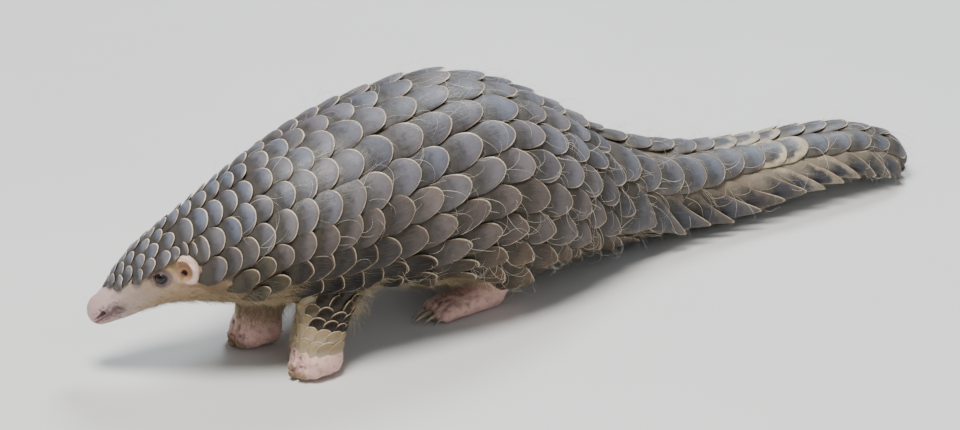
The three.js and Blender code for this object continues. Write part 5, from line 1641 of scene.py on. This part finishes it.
for wgt, count, D0, jit, lo_, hi_, r0, r1 in ((back_of * (0.3 + smooth(0.04, 0.06, MID[:, 2])), 2100, (0.0, 0.75, -0.45), 0.28, 0.009, 0.023, 0.35, 0.95),
                                              (apron, 2600, (0.0, 0.02, -1.0), 0.42, 0.009, 0.019, 0.20, 0.75), (shank, 1400, (0.0, 0.25, -1.0), 0.22, 0.004, 0.0085, 0.10, 0.35)):
    P, N, q, a, pick = roots(wgt, count)
    n = len(P)
    D = np.tile(D0, (n, 1)) + rng.normal(size=(n, 3)) * jit
    groups.append((P, grow(P, N, D, rng.uniform(lo_, hi_, n), rng.uniform(r0, r1, n), np.full(n, 0.10), rng.uniform(0.02, 0.14, n), 6)))
paths = np.vstack([g_[1] for g_ in groups])
paths[:, :, 2] = np.maximum(paths[:, :, 2], 0.012)
place = np.vstack([g_[0][:, 1:] for g_ in groups])
n = len(paths)
strand_piece("hair_legs", paths, rng.uniform(0.00007, 0.00012, n), rng.random(n), place, HAIR_OLIVE)

# long pale curling hairs that come out between the scales and lie over them
body_scales = [s for s in SCALES if s["lf"] is body and s["q"] > 0.12]
wt = np.array([0.6 + 1.0 * float(smooth(0.20, 0.36, s["q"])) + 0.5 * float(smooth(80, 105, abs(math.degrees(s["ang"])))) * float(smooth(0.22, 0.32, s["q"])) - 0.4 * float(smooth(85, 95, abs(math.degrees(s["ang"])))) * float(smooth(0.27, 0.22, s["q"])) - 0.6 * float(smooth(0.50, 0.60, s["q"])) for s in body_scales]) * np.array([s["W"] * s["L"] for s in body_scales]) ** 0.6
n, m = 1500, 15
idx = rng.choice(len(body_scales), n, p=wt / wt.sum())
pull = lambda key: np.array([body_scales[i][key] for i in idx])
q0, s0, Wd, Ls, Hs = pull("q"), pull("s0"), pull("W"), pull("L"), pull("H")
u = rng.uniform(-1, 1, n)
q0 = q0 - 0.16 * Ls * u**2 - 0.07 * Ls
s0 = s0 + u * 0.46 * Wd
a0 = angle_of(q0, s0)
long_ = rng.random(n) < 0.50
length = np.where(long_, rng.uniform(0.018, 0.036, n), rng.uniform(0.008, 0.015, n))
head = rng.normal(size=n) * 0.60 + 0.30 * np.sign(s0)
bend = rng.normal(size=n) * 0.5 + np.where(rng.random(n) < 0.5, 1.0, -1.0) * np.where(long_, 1.5, 0.6)
t = np.linspace(0, 1, m)
th = head[:, None] + bend[:, None] * t[None] ** 1.3
ds = length[:, None] / (m - 1)
qq = np.clip(q0[:, None] + np.cumsum(np.cos(th) * ds, axis=1) - ds, 0.03, body.L - 0.004)
aa = angle_of(qq, s0[:, None] + np.cumsum(np.sin(th) * ds, axis=1) - np.sin(th[:, :1]) * ds)
foot = seat(body, qq, aa, np.zeros_like(qq))
out_ = body.normal(qq, aa)
verts_, faces_ = [], []
for ob in SCALE_OBS:
    co = np.empty(len(ob.data.vertices) * 3, np.float32)
    ob.data.vertices.foreach_get("co", co)
    vi = np.empty(len(ob.data.loops), np.int32)
    ob.data.loops.foreach_get("vertex_index", vi)
    faces_ += (vi.reshape(-1, 4) + len(verts_)).tolist()
    verts_ += co.reshape(-1, 3).tolist()
tree = BVHTree.FromPolygons(verts_, faces_)
top_h = np.zeros((n, m))
for i in range(n):
    for j in range(m):
        o, d = Vector(foot[i, j] + out_[i, j] * 0.016), Vector(-out_[i, j])
        got = tree.ray_cast(o, d, 0.017)
        top_h[i, j] = 0.016 - got[3] if got[0] is not None else 0.0006
near_ = np.maximum(top_h, 0.5 * (np.pad(top_h, ((0, 0), (1, 1)), "edge")[:, :-2] + np.pad(top_h, ((0, 0), (1, 1)), "edge")[:, 2:]))
for _ in range(2):
    pad_ = np.pad(near_, ((0, 0), (1, 1)), "edge")
    near_ = np.maximum(near_, 0.5 * near_ + 0.25 * (pad_[:, :-2] + pad_[:, 2:]))
away = np.where(rng.random(n) < 0.38, rng.uniform(0.003, 0.0105, n), rng.uniform(0.0003, 0.0016, n))
start = smooth(0.0, 0.16, t)[None]
hh = (Hs[:, None] * 0.35) * (1 - start) + (near_ + 0.00030 + away[:, None] * np.sin(np.pi * np.clip(t * 0.85, 0, 1))[None]) * start
paths = foot + out_ * hh[:, :, None]
for _ in range(2):
    paths[:, 2:-1] = 0.5 * paths[:, 2:-1] + 0.25 * (paths[:, 1:-2] + paths[:, 3:])
HAIR_WHITE = hair_material("pale_hair", (0.62, 0.53, 0.38), (0.80, 0.76, 0.68), (0.45, 0.34, 0.20))
strand_piece("hair_curly", paths, np.where(long_, rng.uniform(0.00011, 0.00016, n), rng.uniform(0.00008, 0.00012, n)), rng.random(n), np.stack([q0 * 1000, np.degrees(a0)], 1), HAIR_WHITE)


# =====================================================================================
# Floor, light and camera
# =====================================================================================
floor = new_mesh("floor", np.array([(-6, -6, 0), (6, -6, 0), (6, 6, 0), (-6, 6, 0)], float), [(0, 1, 2, 3)], False)
floor.data.materials.append(floor_material())
floor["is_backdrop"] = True


def light(name, az, el, dist, size, power, colour=(1, 1, 1), look=(0, 0, 0.08)):
    a, e = az * RAD, el * RAD
    p = Vector(look) + dist * Vector((math.sin(a) * math.cos(e), -math.cos(a) * math.cos(e), math.sin(e)))
    data = bpy.data.lights.new(name, "AREA")
    data.shape, data.size, data.energy, data.color = "DISK", size, power, colour
    ob = bpy.data.objects.new(name, data)
    ob.location = p
    ob.rotation_euler = (Vector(look) - p).to_track_quat("-Z", "Y").to_euler()
    bpy.context.scene.collection.objects.link(ob)
    return ob


light("key", 30, 68, 2.5, 0.9, 92, (1.0, 0.985, 0.96))
light("fill", 80, 35, 3.2, 2.4, 9, (0.93, 0.97, 1.0))
light("back", 215, 52, 2.8, 1.1, 66, (0.86, 0.93, 1.0))
world = bpy.data.worlds.new("studio")
bpy.context.scene.world = world
world.use_nodes = True
bg = world.node_tree.nodes["Background"]
bg.inputs[0].default_value = (0.79, 0.86, 0.95, 1.0)
bg.inputs[1].default_value = 0.30

cam_data = bpy.data.cameras.new("camera")
cam = bpy.data.objects.new("camera", cam_data)
bpy.context.scene.collection.objects.link(cam)
az, el, D, F_PX = 55 * RAD, 25 * RAD, 3.2, 960 * 158 / 36
view_d = Vector((-math.sin(az) * math.cos(el), math.cos(az) * math.cos(el), -math.sin(el)))
view_r = Vector((math.cos(az), math.sin(az), 0))
view_u = view_r.cross(view_d)
target = Vector((OX, OY, 0.09))
cam.location = target - view_d * D - view_r * ((440 - 480) / F_PX * D) + view_u * ((190 - 215) / F_PX * D)
cam.rotation_euler = view_d.to_track_quat("-Z", "Y").to_euler()
cam_data.lens, cam_data.sensor_width = 158, 36
cam_data.clip_start, cam_data.clip_end = 0.05, 30
bpy.context.scene.camera = cam

low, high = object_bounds()
{"cad_low": CAD_BOX[0], "cad_high": CAD_BOX[1], "visual_low": [float(v) for v in low], "visual_high": [float(v) for v in high]}
